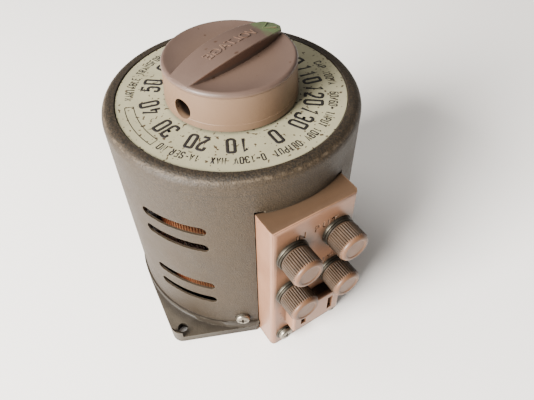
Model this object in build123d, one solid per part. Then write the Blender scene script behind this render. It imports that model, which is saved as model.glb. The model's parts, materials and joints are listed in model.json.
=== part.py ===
from build123d import *
import math
import os

# Variable autotransformer: a round drum on a cast base with three ears, a terminal block on its
# front and a pointer knob over a voltage dial on top. Inside, a brush driven by the knob sweeps
# the bared top of a toroidal winding.
#
# Millimetres, +Z up. The origin is on the shaft axis, level with the undersides of the ears.
# The terminal block faces -Y. An angle is counted from the block, anticlockwise seen from above.

os.makedirs("parts", exist_ok=True)

# Driving sizes: the base casting
EAR_THICKNESS = 7.0
BASE_WEB = 3.5                 # thickness of the plate between the ears
BASE_OVERHANG = 0.8            # how far the plate stands out past the drum
EAR_REACH = 6.5                # from the drum's wall to the hole
EAR_HOLE_RADIUS = 2.1
EAR_CORNER = 4.6
EAR_ANGLES = (-60, 60, 180)
EAR_PAD_WIDTH = 26.0
EAR_PAD_DEPTH = 16.0
PAN_RADIUS = 27.0              # raised middle that carries the coil
PAN_RISE = 6.0
PAN_WALL = 4.0
RIB_THICKNESS = 3.0
RIB_DEPTH = 2.0

# Driving sizes: the drum
DRUM_RADIUS = 46.0
DRUM_WALL = 0.8
DRUM_HEIGHT = 83.8
SHOULDER_RADIUS = 3.5
RIM_WIDTH = 5.0
DIAL_RECESS = 1.4
DIAL_THICKNESS = 1.0
DIAL_HOLE = 9.0
TOP_SHEET = 1.5
TOP_APERTURE = 11.0
VENT_SPAN = 32.0               # degrees of the drum that one slot takes
VENT_HEIGHT = 4.2
VENT_ANGLES = (-58.7, 58.7, -119.3, 119.3, 180)
VENT_LEVELS = (16.3, 26.2, 50.4, 59.5)      # above the drum's lower edge
DRUM_SCREW_ANGLES = (-30.6, 30.6, 180)
DRUM_SCREW_LEVEL = 3.7         # above the drum's lower edge
DRUM_SCREW_SLOT = 6.4
DRUM_BOSS_WIDTH = 9.0
DRUM_BOSS_DEPTH = 4.6
DRUM_BOSS_HEIGHT = 7.5

# Driving sizes: the terminal block
BLOCK_WIDTH = 34.6
BLOCK_PROJECTION = 6.5         # face past the drum's wall
BLOCK_DROP = 15.6              # from the drum's rim to the block's top
BLOCK_BOTTOM = 0.2
BLOCK_WALL = 2.2
BLOCK_FRONT_WALL = 3.0
BLOCK_EDGE = 2.0
WINDOW_GAP = 0.45              # beside the block
WINDOW_TOP_GAP = 0.3           # over the block
WINDOW_NOTCH_WIDTH = 3.4       # relief at each top corner of the window
WINDOW_NOTCH_RISE = 1.4
FLANGE_WALL = 1.5
FLANGE_WIDTH = 3.0
POST_PITCH = 19.0
POST_ROWS = (0.496, 0.79733)   # output row and input row, as shares of the block's height
OUTLET_WIDTH = 22.0
OUTLET_DEPTH = 5.5
OUTLET_SPAN = (0.184, 0.37867) # lower and upper side, as shares of the block's height
OUTLET_WALL = 2.0
OUTLET_EDGE = 1.0
BLADE_PITCH = 12.7             # parallel-blade plug
BLADE_SLOT_WIDTH = 2.4
BLADE_SLOT_HEIGHT = 8.4
BLADE_THICKNESS = 1.5
BLOCK_SCREW_PITCH = 23.4
BLOCK_SCREW_LEVEL = 7.4
LUG_TOP = 12.0                 # cast lug that the block's screws go into

# Driving sizes: binding posts
STUD_RADIUS = 2.0
COLLAR_RADIUS = 6.4
COLLAR_THICKNESS = 1.0
LOOSE_WASHER_RADIUS = 6.2
LOOSE_WASHER_THICKNESS = 0.8
CAP_RADIUS = 6.0
CAP_LENGTH = 8.6
CAP_TIP_WALL = 1.1
CAP_RIBS = 40
RIB_CUT = 0.32
CAP_PLAIN_END = 1.3
CAP_PLAIN_BASE = 0.6
NUT_FLATS = 7.0
NUT_THICKNESS = 3.0
STRAP_THICKNESS = 0.5
LUG_THICKNESS = 0.6
STUD_TAIL = 0.7

# Driving sizes: screws
SCREW_RADIUS = 1.5
SCREW_HEAD_RADIUS = 2.9
SCREW_HEAD_THICKNESS = 1.9
SCREW_WASHER_RADIUS = 3.7
SCREW_WASHER_THICKNESS = 0.6
CROSS_LENGTH = 3.0
CROSS_WIDTH = 0.7
CROSS_DEPTH = 1.0

# Driving sizes: the coil
COIL_MARGIN = 5.7              # from the coil to the drum's bore
COIL_WINDOW = 19.0
COIL_HEADROOM = 29.8           # drum height that the coil leaves free
WIRE_LAYER = 1.1
FORMER_WALL = 1.3
CORE_GAP = 0.1
COIL_CORNER = 2.2
FIBRE_WASHER = 2.0
FIBRE_RADIUS = 24.5
TRACK_INSET = 9.0              # from the coil's outside to the middle of the bared brush track
WINDING_MARGIN = 2.0           # degrees of winding past each end of the travel

# Driving sizes: centre column and rotor
TUBE_RADIUS = 5.0
TUBE_FLANGE_RADIUS = 8.5
TUBE_FLANGE = 2.0
SHAFT_RADIUS = 3.0
CLAMP_RADIUS = 16.6
CLAMP_THICKNESS = 2.0
COLLECTOR_OUTER = 23.8
COLLECTOR_INNER = 18.6
COLLECTOR_THICKNESS = 1.2
LOCK_WASHER = 1.5
CLAMP_NUT_FLATS = 16.0
CLAMP_NUT = 4.0
HUB_RADIUS = 8.5
HUB_BUSH_RADIUS = 5.6
HUB_HEIGHT = 5.2
ARM_WIDTH = 12.0
ARM_THICKNESS = 3.0
ARM_TAIL = 15.0
BRUSH_LENGTH = 6.2             # along the radius
BRUSH_WIDTH = 4.8
BRUSH_HEIGHT = 9.0
BRUSH_BOX_WALL = 1.4
BRUSH_BOX_TOP = 6.0            # above the underside of the arm
BRUSH_CAP = 1.0
SPRING_WIRE = 0.35
SPRING_TURNS = 6
STOP_CIRCLE = 14.2
STOP_PIN_RADIUS = 1.4
STOP_FINGER_WIDTH = 3.0

# Driving sizes: dial travel and the knob
ZERO_ANGLE = -1.2              # dial position of 0 V
FULL_ANGLE = 25.4              # dial position of the full voltage, reached the long way round
REST_ANGLE = 103.6             # where the pointer stands, at 100 V
KNOB_BASE_RADIUS = 23.6
KNOB_NECK_RADIUS = 22.7
KNOB_RIM_RADIUS = 23.0
KNOB_HEIGHT = 14.3
KNOB_LIP = 2.5
KNOB_WALL = 2.4
KNOB_ROOF = 3.6
KNOB_DISH = 0.9
KNOB_RIM_WIDTH = 2.0
KNOB_HUB_RADIUS = 9.5
INSERT_RADIUS = 6.0
RIDGE_CROWN = 3.5
RIDGE_TIP_RISE = 0.9
RIDGE_HALF_WIDTH = 6.6
RIDGE_END_HALF_WIDTH = 4.4
RIDGE_TIP_OVERHANG = 0.7
SET_SCREW_BEARING = 183.8      # from the pointer
SET_SCREW_LEVEL = 5.2          # above the knob's lower edge
SET_SCREW_WELL = 3.5
SET_SCREW_RADIUS = 2.0

# Driving sizes: internal leads
LEAD_RADIUS = 0.8
LEAD_INNER_RUN = 1.2           # sideways place of the inner run on the live side
LEAD_RUN_OFFSET = 1.5          # outer run, sideways from a solder lug's tail

# Clearances
RUNNING = 0.06                 # radial, shaft in its bore
FREE = 0.1                     # between pieces that only have to go together
FACE_GAP = 0.05                # between faces on parts that move against each other
KNOB_GAP = 0.7                 # under the knob

# Worked out from the above
base_radius = DRUM_RADIUS + BASE_OVERHANG
base_top = EAR_THICKNESS
web_bottom = base_top - BASE_WEB
pan_top = base_top + PAN_RISE
pan_bottom = pan_top - PAN_WALL
rim_top = base_top + DRUM_HEIGHT
drum_bore = DRUM_RADIUS - DRUM_WALL
ear_reach = DRUM_RADIUS + EAR_REACH
coil_radius = drum_bore - COIL_MARGIN
coil_height = DRUM_HEIGHT - COIL_HEADROOM
track_radius = coil_radius - TRACK_INSET
dial_bottom = rim_top - DIAL_RECESS
dial_top = dial_bottom + DIAL_THICKNESS
dial_seat_radius = DRUM_RADIUS - RIM_WIDTH
roof_bottom = dial_bottom - TOP_SHEET
coil_bottom = pan_top + FIBRE_WASHER
coil_top = coil_bottom + coil_height
plate_level = coil_top + FIBRE_WASHER
clamp_top = plate_level + CLAMP_THICKNESS
nut_bottom = clamp_top + LOCK_WASHER
tube_top = nut_bottom + CLAMP_NUT + 0.5
hub_bottom = tube_top + 0.6
hub_top = hub_bottom + HUB_HEIGHT
knob_bottom = dial_top + KNOB_GAP
knob_rim = knob_bottom + KNOB_HEIGHT
stop_angle = (ZERO_ANGLE + FULL_ANGLE) / 2
half_block = BLOCK_WIDTH / 2
block_front = DRUM_RADIUS + BLOCK_PROJECTION
block_top = rim_top - BLOCK_DROP
block_height = block_top - BLOCK_BOTTOM
post_levels = [BLOCK_BOTTOM + share * block_height for share in POST_ROWS]
outlet_bottom, outlet_top = [share * block_height + BLOCK_BOTTOM for share in OUTLET_SPAN]
wall_back = block_front - BLOCK_FRONT_WALL
half_cavity = half_block - BLOCK_WALL
flange_outer = drum_bore - 0.3
flange_inner = flange_outer - FLANGE_WALL
post_places = [(side * POST_PITCH / 2, level) for level in post_levels for side in (-1, 1)]
block_screw_places = [(side * BLOCK_SCREW_PITCH / 2, BLOCK_SCREW_LEVEL) for side in (-1, 1)]
lug_half_width = half_cavity - 0.4
outlet_level = (outlet_bottom + outlet_top) / 2


def ring(outer, inner, low, high):
    """Upright ring between two heights, or a disc when inner is 0."""
    face = Circle(outer)
    if inner > 0:
        face -= Circle(inner)
    return Pos(0, 0, low) * extrude(face, high - low)


def slab(x, y, z):
    """Box between three pairs of limits."""
    middle = Pos(sum(x) / 2, sum(y) / 2, sum(z) / 2)
    return middle * Box(x[1] - x[0], y[1] - y[0], z[1] - z[0])


def forward(face, x, z, start, end):
    """Extrude a face towards -Y, from one distance to another."""
    return Pos(x, -start, z) * Rot(90, 0, 0) * extrude(face, end - start)


def rod(radius, x, z, start, end):
    """Round bar pointing along -Y, from one distance to another."""
    return forward(Circle(radius), x, z, start, end)


def turned(angle, shape):
    return Rot(0, 0, angle) * shape


def polar(angle, radius, height):
    """Point at an angle from the block, a radius and a height."""
    bearing = math.radians(angle)
    return (radius * math.sin(bearing), -radius * math.cos(bearing), height)


def upright_hole(radius, distance):
    """Cutter through the whole base, at angle 0."""
    return Pos(0, -distance, -1) * extrude(Circle(radius), base_top + 2)


def save(name, *pieces):
    solids = [solid for piece in pieces for solid in piece.solids()]
    export_step(Compound(solids), f"parts/{name}.step")


def cross_head_screw(x, z, seat, length, washer=0.0):
    """Pan-head screw pointing into the part along +Y, its head on a seat at a distance."""
    head_start = seat + washer
    head_end = head_start + SCREW_HEAD_THICKNESS
    head = rod(SCREW_HEAD_RADIUS, x, z, head_start, head_end)
    rim = head.edges().group_by(Axis.Y)[0]
    head = fillet(rim, SCREW_HEAD_THICKNESS * 0.55)
    cross = Rectangle(CROSS_LENGTH, CROSS_WIDTH) + Rectangle(CROSS_WIDTH, CROSS_LENGTH)
    head -= forward(cross, x, z, head_end - CROSS_DEPTH, head_end + 1)
    return head + rod(SCREW_RADIUS, x, z, seat - length, head_start)


# Base casting: round plate with three ears, a raised pan in the middle and ribs underneath
def ear_outline():
    """Ear drawn at angle 0: straight sides tangent to the plate and to the round corner."""
    reach = ear_reach
    lean = math.acos((base_radius - EAR_CORNER) / reach)
    wide = Vector(base_radius * math.sin(lean), -base_radius * math.cos(lean))
    narrow = Vector(EAR_CORNER * math.sin(lean), -reach - EAR_CORNER * math.cos(lean))
    corners = [(wide.X, wide.Y), (narrow.X, narrow.Y), (-narrow.X, narrow.Y), (-wide.X, wide.Y)]
    return Polygon(*corners, align=None) + Pos(0, -reach) * Circle(EAR_CORNER)


def base_plate():
    pan_wall_inside = PAN_RADIUS - PAN_WALL
    section = Polygon(
        (TUBE_RADIUS + FREE, pan_bottom),
        (pan_wall_inside, pan_bottom),
        (pan_wall_inside, web_bottom),
        (base_radius, web_bottom),
        (base_radius, base_top),
        (PAN_RADIUS, base_top),
        (PAN_RADIUS, pan_top),
        (TUBE_RADIUS + FREE, pan_top),
        align=None,
    )
    plate = revolve(Plane.XZ * section, Axis.Z)
    pad_end = ear_reach + EAR_CORNER
    pad_limits = ((-EAR_PAD_WIDTH / 2, EAR_PAD_WIDTH / 2), (-pad_end, EAR_PAD_DEPTH - pad_end), (0, base_top))
    disc_face = Circle(base_radius)
    for angle in EAR_ANGLES:
        ear = Pos(0, 0, web_bottom) * extrude(ear_outline(), BASE_WEB)
        pad = extrude(ear_outline() + disc_face, web_bottom) & slab(*pad_limits)
        hole = upright_hole(EAR_HOLE_RADIUS, ear_reach)
        around_pan = ring(PAN_RADIUS - 1, 0, 0, pan_top)
        plate += turned(angle, (ear - around_pan) + pad)
        plate -= turned(angle, hole)
    for number in range(6):
        rib_y = (-(base_radius - 4), -(pan_wall_inside + 1))
        rib = slab((-RIB_THICKNESS / 2, RIB_THICKNESS / 2), rib_y, (web_bottom - RIB_DEPTH, web_bottom))
        plate += turned(30 + 60 * number, rib)
    notch_half = half_block + WINDOW_GAP
    notch_back = math.sqrt(flange_inner**2 - half_block**2) - WINDOW_GAP
    plate -= slab((-notch_half, notch_half), (-base_radius - 5, -notch_back), (-1, base_top + 1))
    lug_front = wall_back - FREE
    lug = slab((-lug_half_width, lug_half_width), (-lug_front, -notch_back + 2), (web_bottom, LUG_TOP))
    plate += lug
    for x, z in block_screw_places:
        plate -= rod(SCREW_RADIUS + FACE_GAP, x, z, notch_back - 2, block_front)
    boss_outer = drum_bore - 0.3
    for angle in DRUM_SCREW_ANGLES:
        boss = ring(boss_outer, boss_outer - DRUM_BOSS_DEPTH, base_top, base_top + DRUM_BOSS_HEIGHT)
        half = DRUM_BOSS_WIDTH / 2
        boss &= slab((-half, half), (-DRUM_RADIUS, 0), (0, rim_top))
        hole = rod(SCREW_RADIUS + FACE_GAP, 0, base_top + DRUM_SCREW_LEVEL, DRUM_RADIUS - 11, DRUM_RADIUS)
        plate += turned(angle, boss)
        plate -= turned(angle, hole)
    return plate


# Drum: spun shell with a rounded shoulder, a seat for the dial, vents and a window for the block
def housing():
    shoulder_start = rim_top - SHOULDER_RADIUS
    flat_start = DRUM_RADIUS - SHOULDER_RADIUS
    inner_corner = SHOULDER_RADIUS - DRUM_WALL
    low_corner = roof_bottom - inner_corner
    half_root = math.sqrt(0.5)
    outer_middle = (flat_start + SHOULDER_RADIUS * half_root, shoulder_start + SHOULDER_RADIUS * half_root)
    inner_middle = (flat_start + inner_corner * half_root, low_corner + inner_corner * half_root)
    outline = [
        Line((drum_bore, base_top), (DRUM_RADIUS, base_top)),
        Line((DRUM_RADIUS, base_top), (DRUM_RADIUS, shoulder_start)),
        ThreePointArc((DRUM_RADIUS, shoulder_start), outer_middle, (flat_start, rim_top)),
        Line((flat_start, rim_top), (dial_seat_radius, rim_top)),
        Line((dial_seat_radius, rim_top), (dial_seat_radius, dial_bottom)),
        Line((dial_seat_radius, dial_bottom), (TOP_APERTURE, dial_bottom)),
        Line((TOP_APERTURE, dial_bottom), (TOP_APERTURE, roof_bottom)),
        Line((TOP_APERTURE, roof_bottom), (flat_start, roof_bottom)),
        ThreePointArc((flat_start, roof_bottom), inner_middle, (drum_bore, low_corner)),
        Line((drum_bore, low_corner), (drum_bore, base_top)),
    ]
    shell = revolve(Plane.XZ * make_face(outline), Axis.Z)
    slot_length = 2 * DRUM_RADIUS * math.sin(math.radians(VENT_SPAN / 2))
    for level in VENT_LEVELS:
        slot = SlotOverall(slot_length, VENT_HEIGHT)
        cutter = forward(slot, 0, base_top + level, DRUM_RADIUS * 0.75, DRUM_RADIUS + 2)
        for angle in VENT_ANGLES:
            shell -= turned(angle, cutter)
    screw_slot = SlotOverall(DRUM_SCREW_SLOT, 2 * SCREW_RADIUS + 0.6)
    screw_cutter = forward(screw_slot, 0, base_top + DRUM_SCREW_LEVEL, DRUM_RADIUS - 5, DRUM_RADIUS + 2)
    for angle in DRUM_SCREW_ANGLES:
        shell -= turned(angle, screw_cutter)
    window_half = half_block + WINDOW_GAP
    window_top = block_top + WINDOW_TOP_GAP
    window_depth = (-DRUM_RADIUS - 2, -DRUM_RADIUS * 0.75)
    shell -= slab((-window_half, window_half), window_depth, (base_top - 1, window_top))
    notch_top = block_top + WINDOW_NOTCH_RISE
    for side in (-1, 1):
        notch_x = sorted((side * window_half, side * (window_half - WINDOW_NOTCH_WIDTH)))
        shell -= slab(notch_x, window_depth, (window_top - 1, notch_top))
    return shell


def dial_plate():
    return ring(dial_seat_radius - FREE, DIAL_HOLE, dial_bottom, dial_top)


def housing_screws():
    shank = DRUM_WALL + DRUM_BOSS_DEPTH
    screw = cross_head_screw(0, base_top + DRUM_SCREW_LEVEL, DRUM_RADIUS + FACE_GAP, shank)
    return [turned(angle, screw) for angle in DRUM_SCREW_ANGLES]


# Terminal block: hollow moulding that fills the drum's window, with a raised outlet at its foot
def terminal_cover():
    shell = slab((-half_block, half_block), (-block_front, -DRUM_RADIUS * 0.75), (BLOCK_BOTTOM, block_top))
    upright = shell.edges().filter_by(Axis.Z).group_by(Axis.Y)[0]
    top_front = shell.edges().filter_by(Axis.X).group_by(Axis.Y)[0].sort_by(Axis.Z)[-1:]
    shell = fillet(upright + top_front, BLOCK_EDGE)
    boss_x = (-OUTLET_WIDTH / 2, OUTLET_WIDTH / 2)
    boss = slab(boss_x, (-block_front - OUTLET_DEPTH, -block_front + 1), (outlet_bottom, outlet_top))
    front_edges = boss.faces().sort_by(Axis.Y)[0].edges()
    boss = fillet(front_edges + boss.edges().filter_by(Axis.Y), OUTLET_EDGE)
    flange = ring(flange_outer, flange_inner, LUG_TOP + 4, block_top - 5)
    reach = half_block + FLANGE_WIDTH
    flange &= slab((-reach, reach), (-DRUM_RADIUS, 0), (0, block_top))
    tab = ring(flange_outer, flange_inner, block_top - BLOCK_WALL, block_top + FLANGE_WIDTH)
    tab &= slab((-half_block / 2, half_block / 2), (-DRUM_RADIUS, 0), (0, rim_top))
    body = shell - ring(flange_inner, 0, -1, rim_top) + boss + flange + tab
    hollow_z = (BLOCK_BOTTOM - 1, block_top - BLOCK_WALL)
    body -= slab((-half_cavity, half_cavity), (-wall_back, -DRUM_RADIUS * 0.6), hollow_z)
    outlet_cavity = OUTLET_WIDTH / 2 - OUTLET_WALL
    cavity_y = (-block_front - OUTLET_DEPTH + OUTLET_WALL, -wall_back + 1)
    cavity_z = (outlet_bottom + OUTLET_WALL, outlet_top - OUTLET_WALL)
    body -= slab((-outlet_cavity, outlet_cavity), cavity_y, cavity_z)
    for side in (-1, 1):
        slot = Rectangle(BLADE_SLOT_WIDTH, BLADE_SLOT_HEIGHT)
        slot_start = block_front + OUTLET_DEPTH - OUTLET_WALL - 1
        slot_end = slot_start + OUTLET_WALL + 2
        body -= forward(slot, side * BLADE_PITCH / 2, outlet_level, slot_start, slot_end)
    for x, z in post_places:
        body -= rod(STUD_RADIUS + FREE, x, z, wall_back - 1, block_front + 1)
    for x, z in block_screw_places:
        body -= rod(SCREW_RADIUS + FREE, x, z, wall_back - 1, block_front + 1)
    return body


def block_screws():
    shank = BLOCK_FRONT_WALL + 5
    return [cross_head_screw(x, z, block_front, shank, SCREW_WASHER_THICKNESS) for x, z in block_screw_places]


def block_washers():
    face = Circle(SCREW_WASHER_RADIUS) - Circle(SCREW_RADIUS + FREE)
    front = block_front + SCREW_WASHER_THICKNESS
    return [forward(face, x, z, block_front, front) for x, z in block_screw_places]


# Binding posts: from the inside out a nut, a solder lug, the block's wall, a fixed collar, a loose
# washer and a ribbed cap that screws out along the stud
strap_front = wall_back
tab_front = strap_front - STRAP_THICKNESS
lug_front = tab_front - STRAP_THICKNESS
nut_front = lug_front - LUG_THICKNESS
nut_rear = nut_front - NUT_THICKNESS
stud_rear = nut_rear - STUD_TAIL
collar_front = block_front + COLLAR_THICKNESS
washer_rear = collar_front + FACE_GAP
washer_front = washer_rear + LOOSE_WASHER_THICKNESS
cap_rear = washer_front + FACE_GAP
cap_front = cap_rear + CAP_LENGTH
bore_end = cap_front - CAP_TIP_WALL
stud_front = bore_end - 0.5


def collar(x, z):
    body = rod(COLLAR_RADIUS, x, z, block_front, collar_front)
    body = chamfer(body.edges().group_by(Axis.Y)[0], 0.3)
    return body - rod(STUD_RADIUS + FACE_GAP, x, z, block_front - 1, collar_front + 1)


def loose_washer(x, z):
    face = Circle(LOOSE_WASHER_RADIUS) - Circle(STUD_RADIUS + FREE)
    return forward(face, x, z, washer_rear, washer_front)


def cap(x, z):
    points = []
    for step in range(2 * CAP_RIBS):
        radius = CAP_RADIUS - RIB_CUT * (step % 2)
        bearing = math.pi * step / CAP_RIBS
        points.append((radius * math.cos(bearing), radius * math.sin(bearing)))
    ribbed = forward(Polygon(*points, align=None), x, z, cap_rear + CAP_PLAIN_BASE, cap_front - CAP_PLAIN_END)
    plain = rod(CAP_RADIUS - RIB_CUT, x, z, cap_rear, cap_front)
    plain = chamfer(plain.edges().group_by(Axis.Y)[0], CAP_PLAIN_END * 0.7)
    recess = rod(CAP_RADIUS * 0.62, x, z, cap_front - 0.3, cap_front + 1)
    bore = rod(STUD_RADIUS + RUNNING, x, z, cap_rear - 1, bore_end)
    return ribbed + plain - recess - bore


def hexagon(flats):
    return RegularPolygon(flats / 2, 6, major_radius=False)


def post_nut(x, z):
    face = hexagon(NUT_FLATS) - Circle(STUD_RADIUS + FACE_GAP)
    return forward(face, x, z, nut_rear, nut_front)


def solder_lug(x, z):
    """Ring tongue with its tail towards the middle of the block."""
    inward = -math.copysign(1, x)
    face = Circle(4.0) + Pos(inward * 4.2, 0) * Rectangle(4.4, 2.6)
    face -= Circle(STUD_RADIUS + FREE)
    return forward(face, x, z, nut_front, lug_front)


def strap_ring():
    return Circle(4.2)


def jumper_strap():
    """Strip that joins the two common posts."""
    low, high = post_levels
    x = -POST_PITCH / 2
    strip = strap_ring() + Pos(0, (high - low) / 2) * Rectangle(4.0, high - low)
    strip += Pos(0, high - low) * strap_ring()
    strip -= Circle(STUD_RADIUS + FREE)
    strip -= Pos(0, high - low) * Circle(STUD_RADIUS + FREE)
    return forward(strip, x, low, tab_front, strap_front)


def spacer_washers():
    """Packing on the studs that carry no strap or contact."""
    low, high = post_levels
    x = POST_PITCH / 2
    face = Circle(4.2) - Circle(STUD_RADIUS + FREE)
    right_low = forward(face, x, low, tab_front, strap_front)
    right_high = forward(face, x, high, lug_front, strap_front)
    left_high = forward(face, -x, high, lug_front, tab_front)
    return [right_low, right_high, left_high]


def outlet_contact(side):
    """Strip from an output post that ends in a U-shaped spring clip behind a blade slot."""
    post_x = side * POST_PITCH / 2
    blade_x = side * BLADE_PITCH / 2
    low = post_levels[0]
    strip_low = outlet_top - OUTLET_WALL - 1
    tongue = strap_ring() + Pos(0, (strip_low - low) / 2) * Rectangle(4.0, low - strip_low)
    tongue -= Circle(STUD_RADIUS + FREE)
    body = forward(tongue, post_x, low, lug_front, tab_front)
    grip = BLADE_THICKNESS / 2 + 0.05
    clip_front = block_front + OUTLET_DEPTH - OUTLET_WALL - 0.4
    clip_z = (outlet_level - 3, outlet_level + 3)
    for leaf in (-1, 1):
        x_limits = sorted((blade_x + leaf * grip, blade_x + leaf * (grip + STRAP_THICKNESS)))
        body += slab(x_limits, (-clip_front, -lug_front), clip_z)
    bridge_x = (blade_x - grip - STRAP_THICKNESS, blade_x + grip + STRAP_THICKNESS)
    body += slab(bridge_x, (-tab_front, -lug_front), (clip_z[0], clip_z[1]))
    link_x = sorted((blade_x - side * 1.2, post_x + side * 2.0))
    body += slab(link_x, (-tab_front, -lug_front), (clip_z[1] - 2, strip_low + 0.5))
    blade_way = Rectangle(BLADE_THICKNESS + 0.1, 6.6)
    return body - forward(blade_way, blade_x, outlet_level, lug_front - 2, clip_front + 1)


def insulation_sheet():
    """Curved sheet between the block's live parts and the coil."""
    sheet = ring(coil_radius + 1.2, coil_radius + 0.8, coil_bottom + 6, coil_top - 3)
    reach = half_cavity - 0.3
    return sheet & slab((-reach, reach), (-DRUM_RADIUS, 0), (0, rim_top))


# Coil: strip-wound core in a two-part fibre former, one layer of wire with a gap at the front
def rounded_section(inner, outer, low, high, radius):
    width = outer - inner
    height = high - low
    face = Pos((inner + outer) / 2, (low + high) / 2) * RectangleRounded(width, height, radius)
    return Plane.XZ * face


def winding():
    outer = rounded_section(COIL_WINDOW, coil_radius, coil_bottom, coil_top, COIL_CORNER)
    inner_limits = (COIL_WINDOW + WIRE_LAYER, coil_radius - WIRE_LAYER)
    levels = (coil_bottom + WIRE_LAYER, coil_top - WIRE_LAYER)
    section = outer - rounded_section(*inner_limits, *levels, COIL_CORNER - WIRE_LAYER)
    gap = FULL_ANGLE - ZERO_ANGLE - 2 * WINDING_MARGIN
    start = FULL_ANGLE - WINDING_MARGIN - 90
    return turned(start, revolve(section, Axis.Z, 360 - gap))


def core_limits(clearance):
    inset = WIRE_LAYER + clearance
    return (COIL_WINDOW + inset, coil_radius - inset, coil_bottom + inset, coil_top - inset)


def formers():
    """Lower and upper fibre shells that meet at half height."""
    inner, outer, low, high = core_limits(0)
    middle = (low + high) / 2
    core_inner, core_outer, core_low, core_high = core_limits(FORMER_WALL)
    halves = []
    for z_limits in ((low, middle - FREE / 2), (middle + FREE / 2, high)):
        half = revolve(rounded_section(inner, outer, low, high, COIL_CORNER - WIRE_LAYER), Axis.Z)
        half -= ring(core_outer, core_inner, core_low, core_high)
        keep = slab((-DRUM_RADIUS, DRUM_RADIUS), (-DRUM_RADIUS, DRUM_RADIUS), z_limits)
        halves.append(half & keep)
    return halves


def core():
    inner, outer, low, high = core_limits(FORMER_WALL + CORE_GAP)
    return ring(outer, inner, low, high)


# Clamp stack over the coil: fibre washers, plate, collector ring, lock washer, nut, centre tube
well_angle = stop_angle        # the wiper lead goes down the coil's window at this angle
well_radius = (CLAMP_RADIUS + COLLECTOR_INNER) / 2


def washer_upper():
    body = ring(FIBRE_RADIUS, TUBE_RADIUS + FREE, coil_top, plate_level)
    hole = extrude(Circle(LEAD_RADIUS + 0.15), FIBRE_WASHER + 2)
    return body - Pos(*polar(well_angle, well_radius, coil_top - 1)) * hole


def washer_lower():
    body = ring(FIBRE_RADIUS, TUBE_RADIUS + FREE, pan_top, coil_bottom)
    half = LEAD_RADIUS + 0.2
    channel_y = (-FIBRE_RADIUS - 1, -well_radius + half + 1)
    channel = slab((-half, half), channel_y, (pan_top - 1, coil_bottom + 1))
    return body - turned(well_angle, channel)


def clamp_plate():
    return ring(CLAMP_RADIUS, TUBE_RADIUS + FREE, plate_level, clamp_top)


def collector_ring():
    body = ring(COLLECTOR_OUTER, COLLECTOR_INNER, plate_level, plate_level + COLLECTOR_THICKNESS)
    tab = slab((-1.2, 1.2), (-COLLECTOR_INNER - 1, -well_radius + 0.5), (plate_level, plate_level + 0.6))
    return body + turned(well_angle, tab)


def lock_washer():
    body = ring(TUBE_RADIUS + 3.4, TUBE_RADIUS + FREE, clamp_top, nut_bottom)
    return body - slab((-0.6, 0.6), (-20, 0), (clamp_top - 1, nut_bottom + 1))


def clamp_nut():
    face = hexagon(CLAMP_NUT_FLATS) - Circle(TUBE_RADIUS + FACE_GAP)
    return Pos(0, 0, nut_bottom) * extrude(face, CLAMP_NUT)


def centre_tube():
    bore = SHAFT_RADIUS + RUNNING
    flange = ring(TUBE_FLANGE_RADIUS, bore, pan_bottom - TUBE_FLANGE, pan_bottom)
    return flange + ring(TUBE_RADIUS, bore, pan_bottom - TUBE_FLANGE, tube_top)


def stop_pin():
    pin = extrude(Circle(STOP_PIN_RADIUS), hub_bottom - 0.7 - clamp_top)
    return Pos(*polar(stop_angle, STOP_CIRCLE, clamp_top)) * pin


# Rotor, built with its pointer and brush arm at angle 0 and then turned to the rest angle
clip_bottom = pan_bottom - TUBE_FLANGE - 1.6
clip_thickness = 0.6
arm_top = hub_bottom + ARM_THICKNESS
shaft_top = knob_rim - KNOB_ROOF - 1
shaft_bottom = clip_bottom - 0.9
groove_radius = SHAFT_RADIUS - 0.5


def shaft():
    body = ring(SHAFT_RADIUS, 0, shaft_bottom, shaft_top)
    body = chamfer(body.edges().filter_by(GeomType.CIRCLE), 0.3)
    groove = ring(SHAFT_RADIUS + 1, groove_radius, clip_bottom - 0.05, clip_bottom + clip_thickness + 0.05)
    flat_depth = SHAFT_RADIUS - 0.5
    flat = slab((-5, 5), (-5, -flat_depth), (knob_bottom, shaft_top + 1))
    return body - groove - turned(SET_SCREW_BEARING, flat)


def retaining_clip():
    body = ring(SHAFT_RADIUS + 2, groove_radius + 0.02, clip_bottom, clip_bottom + clip_thickness)
    mouth = slab((-1.9, 1.9), (0, 10), (clip_bottom - 1, clip_bottom + 2))
    return body - mouth


def thrust_washer():
    low = clip_bottom + clip_thickness + 0.15
    return ring(SHAFT_RADIUS + 3.5, SHAFT_RADIUS + FREE, low, pan_bottom - TUBE_FLANGE - FACE_GAP)


def spring_washer():
    return ring(SHAFT_RADIUS + 2.4, SHAFT_RADIUS + 0.15, tube_top + FACE_GAP, hub_bottom - FACE_GAP)


def hub_bush():
    return ring(HUB_BUSH_RADIUS, SHAFT_RADIUS + 0.02, hub_bottom, hub_top)


brush_bottom = coil_top + FACE_GAP
box_inner_length = BRUSH_LENGTH + 2 * FREE
box_inner_width = BRUSH_WIDTH + 2 * FREE
box_bottom = coil_top + 2.0
box_top = hub_bottom + BRUSH_BOX_TOP


def centred(length, width, radius, low, high):
    """Upright box on the arm: length along the radius, width across it."""
    return slab((-width / 2, width / 2), (-radius - length / 2, -radius + length / 2), (low, high))


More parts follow.
